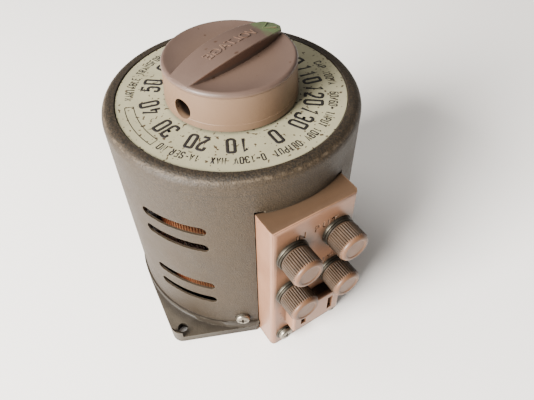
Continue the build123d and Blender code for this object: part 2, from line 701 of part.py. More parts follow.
def brush_arm():
    hub = ring(HUB_RADIUS, HUB_BUSH_RADIUS + FACE_GAP, hub_bottom, hub_top)
    reach = track_radius + box_inner_length / 2
    arm = slab((-ARM_WIDTH / 2, ARM_WIDTH / 2), (-reach, ARM_TAIL), (hub_bottom, arm_top))
    arm -= ring(HUB_BUSH_RADIUS + FACE_GAP, 0, hub_bottom - 1, hub_top)
    outer_length = box_inner_length + 2 * BRUSH_BOX_WALL
    outer_width = box_inner_width + 2 * BRUSH_BOX_WALL
    box = centred(outer_length, outer_width, track_radius, box_bottom, box_top)
    finger_start = STOP_CIRCLE - 2.2
    finger_end = STOP_CIRCLE + 2.2
    half = STOP_FINGER_WIDTH / 2
    finger = slab((-half, half), (-finger_end, -finger_start), (clamp_top + 2, hub_bottom + 0.5))
    body = hub + arm + box + finger
    body -= centred(box_inner_length, box_inner_width, track_radius, box_bottom - 1, box_top - BRUSH_CAP)
    return body


def carbon_brush():
    body = centred(BRUSH_LENGTH, BRUSH_WIDTH, track_radius, brush_bottom, brush_bottom + BRUSH_HEIGHT)
    return chamfer(body.edges().group_by(Axis.Z)[0], 0.3)


def brush_spring():
    low = brush_bottom + BRUSH_HEIGHT + SPRING_WIRE
    high = box_top - BRUSH_CAP - SPRING_WIRE
    radius = BRUSH_WIDTH / 2 - 0.5
    path = Helix((high - low) / SPRING_TURNS, high - low, radius)
    wire = Plane(origin=path @ 0, z_dir=path % 0) * Circle(SPRING_WIRE / 2)
    return Pos(0, -track_radius, low) * sweep(wire, path=path, is_frenet=True)


def contact_shoe():
    """Bronze strip under the arm that rubs on the collector ring."""
    middle = (COLLECTOR_INNER + COLLECTOR_OUTER) / 2
    ring_top = plate_level + COLLECTOR_THICKNESS
    post = slab((-2, 2), (-middle - 0.3, -middle + 0.3), (ring_top + 0.7, hub_bottom))
    pad = slab((-2, 2), (-middle - 1.6, -middle + 1.6), (ring_top + 0.15, ring_top + 0.7))
    return post + pad


def knob():
    rim_start = knob_rim - KNOB_LIP
    lip = 1.3
    floor = knob_rim - KNOB_DISH
    rim_inside = KNOB_RIM_RADIUS - KNOB_RIM_WIDTH
    half_root = math.sqrt(0.5)
    dish_start = (rim_inside - 3.5, floor)
    lip_middle = (KNOB_RIM_RADIUS - lip + lip * half_root, knob_rim - lip + lip * half_root)
    outline = [
        Line((0, knob_bottom), (KNOB_BASE_RADIUS, knob_bottom)),
        Line((KNOB_BASE_RADIUS, knob_bottom), (KNOB_NECK_RADIUS, rim_start)),
        Line((KNOB_NECK_RADIUS, rim_start), (KNOB_RIM_RADIUS, rim_start + 0.3)),
        Line((KNOB_RIM_RADIUS, rim_start + 0.3), (KNOB_RIM_RADIUS, knob_rim - lip)),
        ThreePointArc((KNOB_RIM_RADIUS, knob_rim - lip), lip_middle, (KNOB_RIM_RADIUS - lip, knob_rim)),
        Line((KNOB_RIM_RADIUS - lip, knob_rim), (rim_inside, knob_rim - 0.1)),
        ThreePointArc((rim_inside, knob_rim - 0.1), (rim_inside - 1.2, floor + 0.2), dish_start),
        Line(dish_start, (0, floor)),
        Line((0, floor), (0, knob_bottom)),
    ]
    body = revolve(Plane.XZ * make_face(outline), Axis.Z)
    body += ridge(floor)
    hollow = ring(KNOB_NECK_RADIUS - KNOB_WALL, KNOB_HUB_RADIUS, knob_bottom - 1, knob_rim - KNOB_ROOF)
    well_level = knob_bottom + SET_SCREW_LEVEL
    well_wall = rod(SET_SCREW_WELL + 1.5, 0, well_level, KNOB_HUB_RADIUS - 1, KNOB_NECK_RADIUS - 1)
    well_wall &= ring(KNOB_NECK_RADIUS, 0, knob_bottom, knob_rim - KNOB_ROOF)
    body = body - hollow + turned(SET_SCREW_BEARING, well_wall)
    body -= ring(INSERT_RADIUS, 0, knob_bottom - 1, knob_rim - KNOB_ROOF)
    well = rod(SET_SCREW_WELL, 0, well_level, INSERT_RADIUS - 1, KNOB_BASE_RADIUS + 2)
    return body - turned(SET_SCREW_BEARING, well)


def ridge(floor):
    """Arched bar across the knob, lens-shaped seen from above, that ends in the pointer."""
    tail = KNOB_RIM_RADIUS - 0.6
    tip = KNOB_RIM_RADIUS + RIDGE_TIP_OVERHANG
    blunt = 1.4
    end = RIDGE_END_HALF_WIDTH
    shoulder = tip - 2.6
    plan = make_face([
        ThreePointArc((end, tail), (RIDGE_HALF_WIDTH, 0), (end, -shoulder)),
        Line((end, -shoulder), (blunt, -tip)),
        Line((blunt, -tip), (-blunt, -tip)),
        Line((-blunt, -tip), (-end, -shoulder)),
        ThreePointArc((-end, -shoulder), (-RIDGE_HALF_WIDTH, 0), (-end, tail)),
        Line((-end, tail), (end, tail)),
    ])
    bar = Pos(0, 0, floor - 1) * extrude(plan, 10)
    side = make_face([
        ThreePointArc((tail, knob_rim - 0.1), (0, knob_rim + RIDGE_CROWN), (-tip, knob_rim + RIDGE_TIP_RISE)),
        Line((-tip, knob_rim + RIDGE_TIP_RISE), (-tip, floor - 1)),
        Line((-tip, floor - 1), (tail, floor - 1)),
        Line((tail, floor - 1), (tail, knob_rim - 0.1)),
    ])
    arch = extrude(Plane.YZ * side, 20, both=True)
    levels = (floor - 1, knob_rim + 10)
    inside_rim = ring(KNOB_RIM_RADIUS - 0.4, 0, *levels) + slab((-10, 10), (-KNOB_RIM_RADIUS - 7, 0), levels)
    return bar & arch & inside_rim


def knob_insert():
    """Brass bush moulded into the knob, tapped for the set screw."""
    body = ring(INSERT_RADIUS - 0.02, SHAFT_RADIUS + 0.02, knob_bottom + 0.5, knob_rim - KNOB_ROOF)
    hole = rod(SET_SCREW_RADIUS + FACE_GAP, 0, knob_bottom + SET_SCREW_LEVEL, 0, INSERT_RADIUS + 2)
    return body - turned(SET_SCREW_BEARING, hole)


def knob_set_screw():
    level = knob_bottom + SET_SCREW_LEVEL
    body = rod(SET_SCREW_RADIUS, 0, level, SHAFT_RADIUS - 0.45, INSERT_RADIUS + 0.8)
    slot = Rectangle(0.8, 6)
    body -= forward(slot, 0, level, INSERT_RADIUS - 0.2, INSERT_RADIUS + 2)
    return turned(SET_SCREW_BEARING, body)


# Internal leads: round insulated wires between the coil, the collector ring and the solder lugs
def lead(points, radii):
    path = FilletPolyline(*points, radius=radii)
    return sweep(Plane(origin=path @ 0, z_dir=path % 0) * Circle(LEAD_RADIUS), path=path)


lug_tail_x = POST_PITCH / 2 - 5.3
outer_run = lug_tail_x + LEAD_RUN_OFFSET
run_y = -(nut_rear - 1.0)                  # upright runs behind the nuts
over_lug = LUG_TOP + LEAD_RADIUS + 0.35    # height of the runs that cross the cast lug
out_level, in_level = post_levels


def lead_start():
    """From the 0 V end of the winding to the common output post."""
    x = -lug_tail_x
    start_y = -math.sqrt(coil_radius**2 - x**2) - 0.15
    level = coil_bottom + 3
    points = [(x, start_y, level), (x, run_y, level), (x, run_y, out_level), (x, -nut_front, out_level)]
    return lead(points, [1.6, 1.6])


def lead_wiper():
    """From the collector ring down the coil's window and out to the live output post."""
    top = polar(well_angle, well_radius, plate_level - 0.05)
    channel_level = (pan_top + coil_bottom) / 2
    foot = polar(well_angle, well_radius, channel_level)
    edge = polar(well_angle, PAN_RADIUS + 5, channel_level)
    end_x = lug_tail_x - 0.3
    points = [top, foot, edge, (LEAD_INNER_RUN, run_y, over_lug + 0.4)]
    points += [(LEAD_INNER_RUN, run_y, out_level - 4)]
    points += [(end_x, run_y, out_level), (end_x, -nut_front, out_level)]
    return lead(points, [1.7, 3.0, 2.0, 1.6, 1.2])


def lead_tap():
    """From the winding's 100 V turn, round under the coil, to the live input post."""
    run_radius = PAN_RADIUS + 8.5
    level = base_top + 3.2
    corners = [polar(angle, run_radius, level) for angle in (74, 52, 30)]
    top = polar(REST_ANGLE, run_radius, coil_bottom - 0.15)
    foot = polar(REST_ANGLE, run_radius, level)
    crossing = (outer_run + 2.4, -(coil_radius - 2.5), over_lug)
    points = [top, foot, *corners, crossing]
    points += [(outer_run, run_y, over_lug), (outer_run, run_y, in_level - 4)]
    points += [(lug_tail_x, run_y, in_level), (lug_tail_x, -nut_front, in_level)]
    return lead(points, [2.0, 9, 9, 5, 4, 1.6, 1.2, 1.2])


# Write every node
save("base_plate", base_plate())
save("housing", housing())
save("dial_plate", dial_plate())
save("housing_screws", *housing_screws())
save("terminal_cover", terminal_cover())
save("terminal_screws", *block_screws())
save("terminal_washers", *block_washers())
save("post_studs", *[rod(STUD_RADIUS, x, z, stud_rear, stud_front) for x, z in post_places])
save("post_collars", *[collar(x, z) for x, z in post_places])
save("post_nuts", *[post_nut(x, z) for x, z in post_places])
save("solder_lugs", *[solder_lug(x, z) for x, z in post_places])
save("spacer_washers", *spacer_washers())
save("jumper_strap", jumper_strap())
save("outlet_contact_left", outlet_contact(-1))
save("outlet_contact_right", outlet_contact(1))
save("insulation_sheet", insulation_sheet())
save("winding", winding())
for name, half in zip(("former_lower", "former_upper"), formers()):
    save(name, half)
save("core", core())
save("washer_lower", washer_lower())
save("washer_upper", washer_upper())
save("clamp_plate", clamp_plate())
save("collector_ring", collector_ring())
save("lock_washer", lock_washer())
save("clamp_nut", clamp_nut())
save("centre_tube", centre_tube())
save("thrust_washer", thrust_washer())
save("spring_washer", spring_washer())
save("stop_pin", stop_pin())
save("lead_start", lead_start())
save("lead_wiper", lead_wiper())
save("lead_tap", lead_tap())
rotor = {
    "shaft": shaft,
    "retaining_clip": retaining_clip,
    "hub_bush": hub_bush,
    "brush_arm": brush_arm,
    "carbon_brush": carbon_brush,
    "brush_spring": brush_spring,
    "contact_shoe": contact_shoe,
    "knob": knob,
    "knob_insert": knob_insert,
    "knob_set_screw": knob_set_screw,
}
for name, make in rotor.items():
    save(name, turned(REST_ANGLE, make()))
post_names = ("output_left", "output_right", "input_left", "input_right")
for name, (x, z) in zip(post_names, post_places):
    save(f"washer_{name}", loose_washer(x, z))
    save(f"cap_{name}", cap(x, z))
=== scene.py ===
import json
import math

import bpy
from mathutils import Matrix, Vector


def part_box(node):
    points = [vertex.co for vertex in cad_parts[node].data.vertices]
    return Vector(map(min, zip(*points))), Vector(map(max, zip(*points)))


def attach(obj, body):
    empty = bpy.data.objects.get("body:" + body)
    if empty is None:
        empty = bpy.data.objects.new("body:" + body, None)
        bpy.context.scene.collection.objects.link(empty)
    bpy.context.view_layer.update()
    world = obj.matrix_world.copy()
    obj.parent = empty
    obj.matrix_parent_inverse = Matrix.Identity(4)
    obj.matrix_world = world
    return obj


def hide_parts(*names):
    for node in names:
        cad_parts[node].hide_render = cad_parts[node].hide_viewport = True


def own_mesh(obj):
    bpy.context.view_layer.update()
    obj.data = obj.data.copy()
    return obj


# Variable autotransformer: a vented drum on an eared cast base, a voltage dial under a pointer
# knob, and a moulded terminal block with four binding posts and a plug outlet.
# The block faces -Y and the shaft stands on the Z axis. Angles are counted from the block,
# anticlockwise seen from above. Lengths are in metres; mm turns millimetres into them.
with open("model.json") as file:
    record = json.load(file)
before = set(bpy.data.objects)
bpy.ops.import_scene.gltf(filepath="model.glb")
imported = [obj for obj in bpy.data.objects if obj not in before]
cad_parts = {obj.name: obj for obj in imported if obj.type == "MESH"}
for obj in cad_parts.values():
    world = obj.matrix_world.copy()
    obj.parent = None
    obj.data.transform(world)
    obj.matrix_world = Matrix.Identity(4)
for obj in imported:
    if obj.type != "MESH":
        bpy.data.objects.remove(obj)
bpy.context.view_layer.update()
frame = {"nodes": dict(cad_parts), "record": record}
cad = frame["nodes"]
mm = 0.001

# Base: one cast plate with three ears, a raised pan and ribs underneath, under dark grey paint
# that has worn off its edges. Its copy is welded so that it shades smoothly.
PAINT_GREY = (0.050, 0.040, 0.028)
BARE_ALLOY = (0.16, 0.14, 0.11)
DUST = (0.11, 0.09, 0.065)
DIRT_AND_SHADE = (0.014, 0.010, 0.006)


def add_to_scene(piece):
    bpy.context.scene.collection.objects.link(piece)


def scaled(colour, share):
    return tuple(share * c for c in colour)


def deselect():
    bpy.ops.object.select_all(action="DESELECT")


def take(piece):
    """Make one piece the only selected and active one."""
    deselect()
    piece.select_set(True)
    bpy.context.view_layer.objects.active = piece


def edit(piece, mode="VERT"):
    take(piece)
    bpy.ops.object.mode_set(mode="EDIT")
    bpy.ops.mesh.select_mode(type=mode)
    bpy.ops.mesh.select_all(action="SELECT")


def leave_edit():
    bpy.ops.object.mode_set(mode="OBJECT")


def settle(piece):
    """Put the piece's place, turn and scale into its mesh."""
    take(piece)
    bpy.ops.object.transform_apply(location=True, rotation=True, scale=True)
    return piece


def shade(piece, angle=32):
    """Smooth below the angle, with flat faces kept flat beside rounded edges."""
    take(piece)
    bpy.ops.object.shade_smooth_by_angle(angle=math.radians(angle))
    weighted = piece.modifiers.new("flat_faces", "WEIGHTED_NORMAL")
    weighted.keep_sharp = True
    bpy.ops.object.modifier_apply(modifier=weighted.name)
    return piece


def tidy_normals(piece):
    edit(piece)
    bpy.ops.mesh.remove_doubles(threshold=0.002 * mm)
    bpy.ops.mesh.normals_make_consistent(inside=False)
    leave_edit()
    return piece


def welded_copy(node, name, angle=32):
    """The shape of a CAD node as one closed mesh that can be shaded smooth."""
    piece = cad[node].copy()
    piece.data = cad[node].data.copy()
    for key in list(piece.keys()):
        del piece[key]
    piece.parent = None
    piece.name = name
    add_to_scene(piece)
    edit(piece)
    bpy.ops.mesh.remove_doubles(threshold=0.001 * mm)
    bpy.ops.mesh.dissolve_limited(angle_limit=math.radians(0.3))
    leave_edit()
    return shade(piece, angle)


def break_edges(piece, width, segments=2, angle=40):
    """Round every edge sharper than the angle."""
    take(piece)
    bevel = piece.modifiers.new("edges", "BEVEL")
    bevel.width = width
    bevel.segments = segments
    bevel.limit_method = "ANGLE"
    bevel.angle_limit = math.radians(angle)
    bpy.ops.object.modifier_apply(modifier=bevel.name)
    return piece


def give(piece, material, body, slot, *replaced):
    """Finish a piece: its material, the body it rides on and the nodes it stands for."""
    piece.data.materials.clear()
    piece.data.materials.append(material)
    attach(piece, body)
    if replaced:
        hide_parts(*replaced)
    return piece


def place(tree, kind, **settings):
    """Add a shader node; settings name its sockets (as words) or its properties."""
    node = tree.nodes.new(kind)
    for key, value in settings.items():
        socket = node.inputs.get(key.replace("_", " ").title())
        if socket is None:
            setattr(node, key, value)
        elif isinstance(value, bpy.types.NodeSocket):
            tree.links.new(value, socket)
        else:
            socket.default_value = value
    return node


def math_node(tree, operation, first, second=0.0, clamp=False):
    node = tree.nodes.new("ShaderNodeMath")
    node.operation = operation
    node.use_clamp = clamp
    for socket, value in zip(node.inputs, (first, second)):
        if isinstance(value, bpy.types.NodeSocket):
            tree.links.new(value, socket)
        else:
            socket.default_value = value
    return node.outputs[0]


def times(tree, first, second, clamp=False):
    return math_node(tree, "MULTIPLY", first, second, clamp)


def plus(tree, first, second, clamp=False):
    return math_node(tree, "ADD", first, second, clamp)


def minus(tree, first, second):
    return math_node(tree, "SUBTRACT", first, second)


def inverse(tree, value):
    """1 minus a mask."""
    return minus(tree, 1.0, value)


def ramp(tree, value, low, high):
    """0 below low, 1 above high and smooth between."""
    node = tree.nodes.new("ShaderNodeMapRange")
    node.interpolation_type = "SMOOTHSTEP"
    tree.links.new(value, node.inputs["Value"])
    node.inputs["From Min"].default_value = low
    node.inputs["From Max"].default_value = high
    return node.outputs["Result"]


def blend_colour(tree, mask, first, second):
    node = tree.nodes.new("ShaderNodeMix")
    node.data_type = "RGBA"
    sockets = {"Factor": mask, "A": first, "B": second}
    colour_inputs = [s for s in node.inputs if s.type == "RGBA"]
    for name, target in (("Factor", node.inputs[0]), ("A", colour_inputs[0]), ("B", colour_inputs[1])):
        value = sockets[name]
        if isinstance(value, bpy.types.NodeSocket):
            tree.links.new(value, target)
        elif isinstance(value, tuple):
            target.default_value = (*value, 1.0)
        else:
            target.default_value = value
    return [s for s in node.outputs if s.type == "RGBA"][0]


def start_group(name, inputs, outputs):
    tree = bpy.data.node_groups.new(name, "ShaderNodeTree")
    for socket in inputs:
        tree.interface.new_socket(socket, in_out="INPUT", socket_type="NodeSocketFloat")
    for socket in outputs:
        tree.interface.new_socket(socket, in_out="OUTPUT", socket_type="NodeSocketFloat")
    return tree, tree.nodes.new("NodeGroupInput").outputs, tree.nodes.new("NodeGroupOutput").inputs


def here(tree):
    return tree.nodes.new("ShaderNodeTexCoord").outputs["Object"]


def noise(tree, scale, detail=3.0, roughness=0.55):
    return place(tree, "ShaderNodeTexNoise", vector=here(tree),
                 scale=scale, detail=detail, roughness=roughness)


def position(tree):
    """The point on the piece, split into X, Y and Z."""
    return place(tree, "ShaderNodeSeparateXYZ", vector=here(tree))


def facing(tree):
    """The surface's normal, split into X, Y and Z."""
    normal = tree.nodes.new("ShaderNodeNewGeometry").outputs["Normal"]
    return place(tree, "ShaderNodeSeparateXYZ", vector=normal)


def off_axis(tree, split):
    """Distance from the shaft's line."""
    squares = [times(tree, split.outputs[axis], split.outputs[axis]) for axis in "XY"]
    return math_node(tree, "SQRT", plus(tree, *squares))


# mottling: slow uneven tone; 0 to 1
mottle, given, made = start_group("mottling", ["Scale"], ["Tone"])
mottle.links.new(ramp(mottle, noise(mottle, given["Scale"], 5.0, 0.6).outputs[0], 0.32, 0.68), made["Tone"])

# specks: small separate spots; Amount near 0 leaves few of them
specks, given, made = start_group("specks", ["Scale", "Amount"], ["Mask"])
spot = noise(specks, given["Scale"], 1.5, 0.4).outputs[0]
edge = minus(specks, 0.80, times(specks, given["Amount"], 0.25))
over = minus(specks, spot, edge)
specks.links.new(times(specks, over, 30.0, clamp=True), made["Mask"])

# worn edges: convex rims, broken up by noise
worn, given, made = start_group("worn_edges", ["Radius", "Amount", "Scale"], ["Mask"])
rounded = place(worn, "ShaderNodeBevel", radius=given["Radius"], samples=6).outputs["Normal"]
flat = worn.nodes.new("ShaderNodeNewGeometry").outputs["Normal"]
dot = worn.nodes.new("ShaderNodeVectorMath")
dot.operation = "DOT_PRODUCT"
worn.links.new(rounded, dot.inputs[0])
worn.links.new(flat, dot.inputs[1])
bend = inverse(worn, dot.outputs["Value"])
patchy = ramp(worn, noise(worn, given["Scale"], 6.0, 0.7).outputs[0], 0.40, 0.62)
strong = times(worn, times(worn, bend, 7.0, clamp=True), patchy)
worn.links.new(times(worn, strong, given["Amount"], clamp=True), made["Mask"])

# darkened hollows: corners and grooves found by ambient occlusion; partly soiling that a cloth doesn't
# reach, partly painted shade
hollow_dirt_and_shade, given, made = start_group("gathered_dirt_and_shade", ["Reach", "Amount", "Scale"], ["Mask"])
shadow = place(hollow_dirt_and_shade, "ShaderNodeAmbientOcclusion", distance=given["Reach"], samples=8).outputs["AO"]
in_shade = inverse(hollow_dirt_and_shade, shadow)
uneven = plus(hollow_dirt_and_shade, 0.45, noise(hollow_dirt_and_shade, given["Scale"], 5.0, 0.65).outputs[0])
dirty_and_shaded = times(hollow_dirt_and_shade, times(hollow_dirt_and_shade, in_shade, uneven), given["Amount"], clamp=True)
hollow_dirt_and_shade.links.new(dirty_and_shaded, made["Mask"])

# grain: a height for the Bump node; fine pits over a slower unevenness
grain, given, made = start_group("grain", ["Scale"], ["Height"])
fine = noise(grain, given["Scale"], 3.0, 0.55).outputs[0]
slow = noise(grain, times(grain, given["Scale"], 0.17), 2.0, 0.5).outputs[0]
grain.links.new(plus(grain, fine, times(grain, slow, 0.6)), made["Height"])


def use_group(tree, group, **values):
    node = tree.nodes.new("ShaderNodeGroup")
    node.node_tree = group
    for key, value in values.items():
        node.inputs[key.title()].default_value = value
    return node.outputs[0]


def surface(name, colour, roughness, shade_colour=None, tone_scale=60.0, metallic=0.0, spots=None,
            dirt_and_shade=None, wear=None, bump=None, coat=0.0, shine=0.30, change_colour=None):
    """A finish built up as the real one is: base, uneven tone, specks, darkened hollows and worn edges.
    spots is (scale, amount, colour); dirt is (reach, amount, scale, colour) and darkens hollows, partly
    as soiling and partly as painted shade; wear is (radius, amount, scale, colour); bump is (scale,
    depth). change_colour(tree, colour) may add its own marks before dirt and wear go on."""
    material = bpy.data.materials.new(name)
    material.use_nodes = True
    tree = material.node_tree
    shader = tree.nodes["Principled BSDF"]
    tone = use_group(tree, mottle, scale=tone_scale)
    shown = blend_colour(tree, tone, shade_colour or scaled(colour, 0.8), colour)
    rough = plus(tree, roughness - 0.06, times(tree, tone, 0.12))
    metal = None
    if change_colour:
        shown = change_colour(tree, shown)
    if spots:
        mask = use_group(tree, specks, scale=spots[0], amount=spots[1])
        shown = blend_colour(tree, mask, shown, spots[2])
    # The ambient-occlusion mask darkens hollows: partly soiling, partly painted shade.
    if dirt_and_shade:
        mask = use_group(tree, hollow_dirt_and_shade, reach=dirt_and_shade[0], amount=dirt_and_shade[1], scale=dirt_and_shade[2])
        shown = blend_colour(tree, mask, shown, dirt_and_shade[3])
        rough = plus(tree, rough, times(tree, mask, 0.25), clamp=True)
    if wear:
        mask = use_group(tree, worn, radius=wear[0], amount=wear[1], scale=wear[2])
        shown = blend_colour(tree, mask, shown, wear[3])
        if wear[3] == BARE_ALLOY:
            metal = times(tree, mask, 0.8)
    tree.links.new(shown, shader.inputs["Base Color"])
    tree.links.new(rough, shader.inputs["Roughness"])
    if metal:
        tree.links.new(metal, shader.inputs["Metallic"])
    else:
        shader.inputs["Metallic"].default_value = metallic
    shader.inputs["Coat Weight"].default_value = coat
    shader.inputs["Specular IOR Level"].default_value = shine
    shader.inputs["Coat Roughness"].default_value = 0.25
    if bump:
        height = use_group(tree, grain, scale=bump[0])
        relief = place(tree, "ShaderNodeBump", height=height, distance=bump[1], strength=1.0)
        tree.links.new(relief.outputs["Normal"], shader.inputs["Normal"])
    return material


def base_marks(tree, colour):
    """Painted shade: a dark ring on the base round the drum's foot."""
    split = position(tree)
    away = plus(tree, off_axis(tree, split), times(tree, noise(tree, 200.0).outputs[0], 3 * mm))
    near = inverse(tree, ramp(tree, away, 48.5 * mm, 52.5 * mm))
    return blend_colour(tree, times(tree, near, 0.85), colour, DIRT_AND_SHADE)


base_paint = surface("base_paint", PAINT_GREY, 0.55, scaled(PAINT_GREY, 0.7), 90.0,
                     spots=(900.0, 0.25, DUST), dirt_and_shade=(4 * mm, 0.8, 300.0, DIRT_AND_SHADE),
                     wear=(0.6 * mm, 0.55, 350.0, BARE_ALLOY), bump=(1400.0, 0.12 * mm),
                     change_colour=base_marks)
base = welded_copy("base_plate", "base_casting")
give(base, base_paint, "frame", "base_casting", "base_plate")

# Drum: spun shell with a rounded shoulder, a flat rim round the dial's seat, pairs of vent slots
# and a window for the block. Fine olive-brown hammered paint, darker on the rim, rubbed thin on
# the shoulder with a painted highlight along it, and darker towards the bottom.
DRUM_OLIVE = (0.0235, 0.0155, 0.0080)
DRUM_SHADE = (0.0165, 0.0108, 0.0055)
RIM_BROWN = (0.0060, 0.0042, 0.0022)
drum_low, drum_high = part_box("housing")
drum_radius = drum_high.x
drum_wall = 0.8 * mm
shoulder = 3.5 * mm
rim_width = 5.0 * mm
seat_depth = 1.4 * mm
top_sheet = 1.5 * mm
top_aperture = 11.0 * mm
vent_span = math.radians(32)
vent_height = 4.2 * mm
vent_angles = (-58.7, 58.7, -119.3, 119.3, 180)
vent_levels = [level * mm for level in (16.3, 26.2, 50.4, 59.5)]
screw_angles = (-30.6, 30.6, 180)
screw_level = 3.7 * mm
block_half = 17.3 * mm
block_top = 75.2 * mm
window_gap = 0.45 * mm
window_top_gap = 0.3 * mm
notch_width = 3.4 * mm
notch_rise = 1.4 * mm


def arc(centre, radius, start, end, count):
    """Points on an arc in the outline's plane, from one angle to another, in degrees."""
    points = []
    for step in range(count + 1):
        turn = math.radians(start + (end - start) * step / count)
        points.append((centre[0] + radius * math.cos(turn), centre[1] + radius * math.sin(turn)))
    return points


def lathe(name, outline, steps=128, closed=True):
    """Spin an outline of (radius, height) points round the Z axis."""
    deselect()
    corners = [(radius, 0.0, height) for radius, height in outline]
    edges = [(i, i + 1) for i in range(len(corners) - 1)]
    if closed:
        edges.append((len(corners) - 1, 0))
    mesh = bpy.data.meshes.new(name)
    mesh.from_pydata(corners, edges, [])
    piece = bpy.data.objects.new(name, mesh)
    add_to_scene(piece)
    edit(piece)
    bpy.ops.mesh.spin(steps=steps, angle=2 * math.pi, center=(0, 0, 0), axis=(0, 0, 1))
    leave_edit()
    return tidy_normals(piece)


def block_shape(name, low, high):
    """Box primitive between two corners."""
    deselect()
    middle = (Vector(low) + Vector(high)) / 2
    bpy.ops.mesh.primitive_cube_add(size=1, location=middle, scale=Vector(high) - Vector(low))
    piece = bpy.context.active_object
    piece.name = name
    return settle(piece)


def round_ends(piece, offset, segments=8):
    """Bevel the four edges that run along Y."""
    edit(piece, "EDGE")
    bpy.ops.mesh.select_all(action="DESELECT")
    leave_edit()
    for line in piece.data.edges:
        first, second = (piece.data.vertices[i].co for i in line.vertices)
        line.select = abs(first.x - second.x) + abs(first.z - second.z) < 1e-6
    bpy.ops.object.mode_set(mode="EDIT")
    bpy.ops.mesh.bevel(offset=offset, segments=segments, affect="EDGES")
    leave_edit()
    return piece


def turn_about_shaft(piece, angle):
    piece.matrix_world = Matrix.Rotation(math.radians(angle), 4, "Z") @ piece.matrix_world
    return settle(piece)


def duplicate(piece, name):
    copy = piece.copy()
    copy.data = piece.data.copy()
    copy.name = name
    add_to_scene(copy)
    return copy


def carve(piece, cutters, operation="DIFFERENCE"):
    """Cut the cutters out of the piece, or weld them on, and remove them."""
    for cutter in cutters:
        take(piece)
        boolean = piece.modifiers.new("carve", "BOOLEAN")
        boolean.operation = operation
        boolean.solver = "EXACT"
        boolean.object = cutter
        bpy.ops.object.modifier_apply(modifier=boolean.name)
        bpy.data.objects.remove(cutter)
    return piece


def join(pieces, name):
    take(pieces[0])
    for piece in pieces[1:]:
        piece.select_set(True)
    bpy.ops.object.join()
    pieces[0].name = name
    return pieces[0]


rim_top = drum_high.z
drum_bore = drum_radius - drum_wall
flat_start = drum_radius - shoulder
seat_radius = drum_radius - rim_width
seat_level = rim_top - seat_depth
sheet_low = seat_level - top_sheet
inner_corner = shoulder - drum_wall
drum_outline = [(drum_bore, drum_low.z), (drum_radius, drum_low.z)]
drum_outline += arc((flat_start, rim_top - shoulder), shoulder, 0, 90, 10)
drum_outline += [(seat_radius + 0.25 * mm, rim_top), (seat_radius, rim_top - 0.25 * mm)]
drum_outline += [(seat_radius, seat_level), (top_aperture, seat_level), (top_aperture, sheet_low)]
drum_outline += arc((flat_start, sheet_low - inner_corner), inner_corner, 90, 0, 6)
drum = lathe("drum", drum_outline, 256)
cutters = []
slot_length = 2 * drum_radius * math.sin(vent_span / 2)
for level in vent_levels:
    middle = drum_low.z + level
    low = (-slot_length / 2, -drum_radius - 2 * mm, middle - vent_height / 2)
    high = (slot_length / 2, -0.75 * drum_radius, middle + vent_height / 2)
    slot = round_ends(block_shape("slot", low, high), vent_height / 2 * 0.998)
    for angle in vent_angles:
        cutters.append(turn_about_shaft(duplicate(slot, "slot"), angle))
    bpy.data.objects.remove(slot)
middle = drum_low.z + screw_level
low = (-3.2 * mm, -drum_radius - 2 * mm, middle - 1.8 * mm)
high = (3.2 * mm, -drum_radius + 5 * mm, middle + 1.8 * mm)
slot = round_ends(block_shape("slot", low, high), 1.79 * mm)
for angle in screw_angles:
    cutters.append(turn_about_shaft(duplicate(slot, "slot"), angle))
bpy.data.objects.remove(slot)
window_half = block_half + window_gap
near, far = -drum_radius - 2 * mm, -0.75 * drum_radius
window_top = block_top + window_top_gap
cutters.append(block_shape("window", (-window_half, near, 0), (window_half, far, window_top)))
for side in (-1, 1):
    ends = sorted((side * window_half, side * (window_half - notch_width)))
    low = (ends[0], near, block_top - 1 * mm)
    cutters.append(block_shape("notch", low, (ends[1], far, block_top + notch_rise)))
carve(drum, [join(cutters[:-3], "cutters"), *cutters[-3:]])
shade(drum, 30)


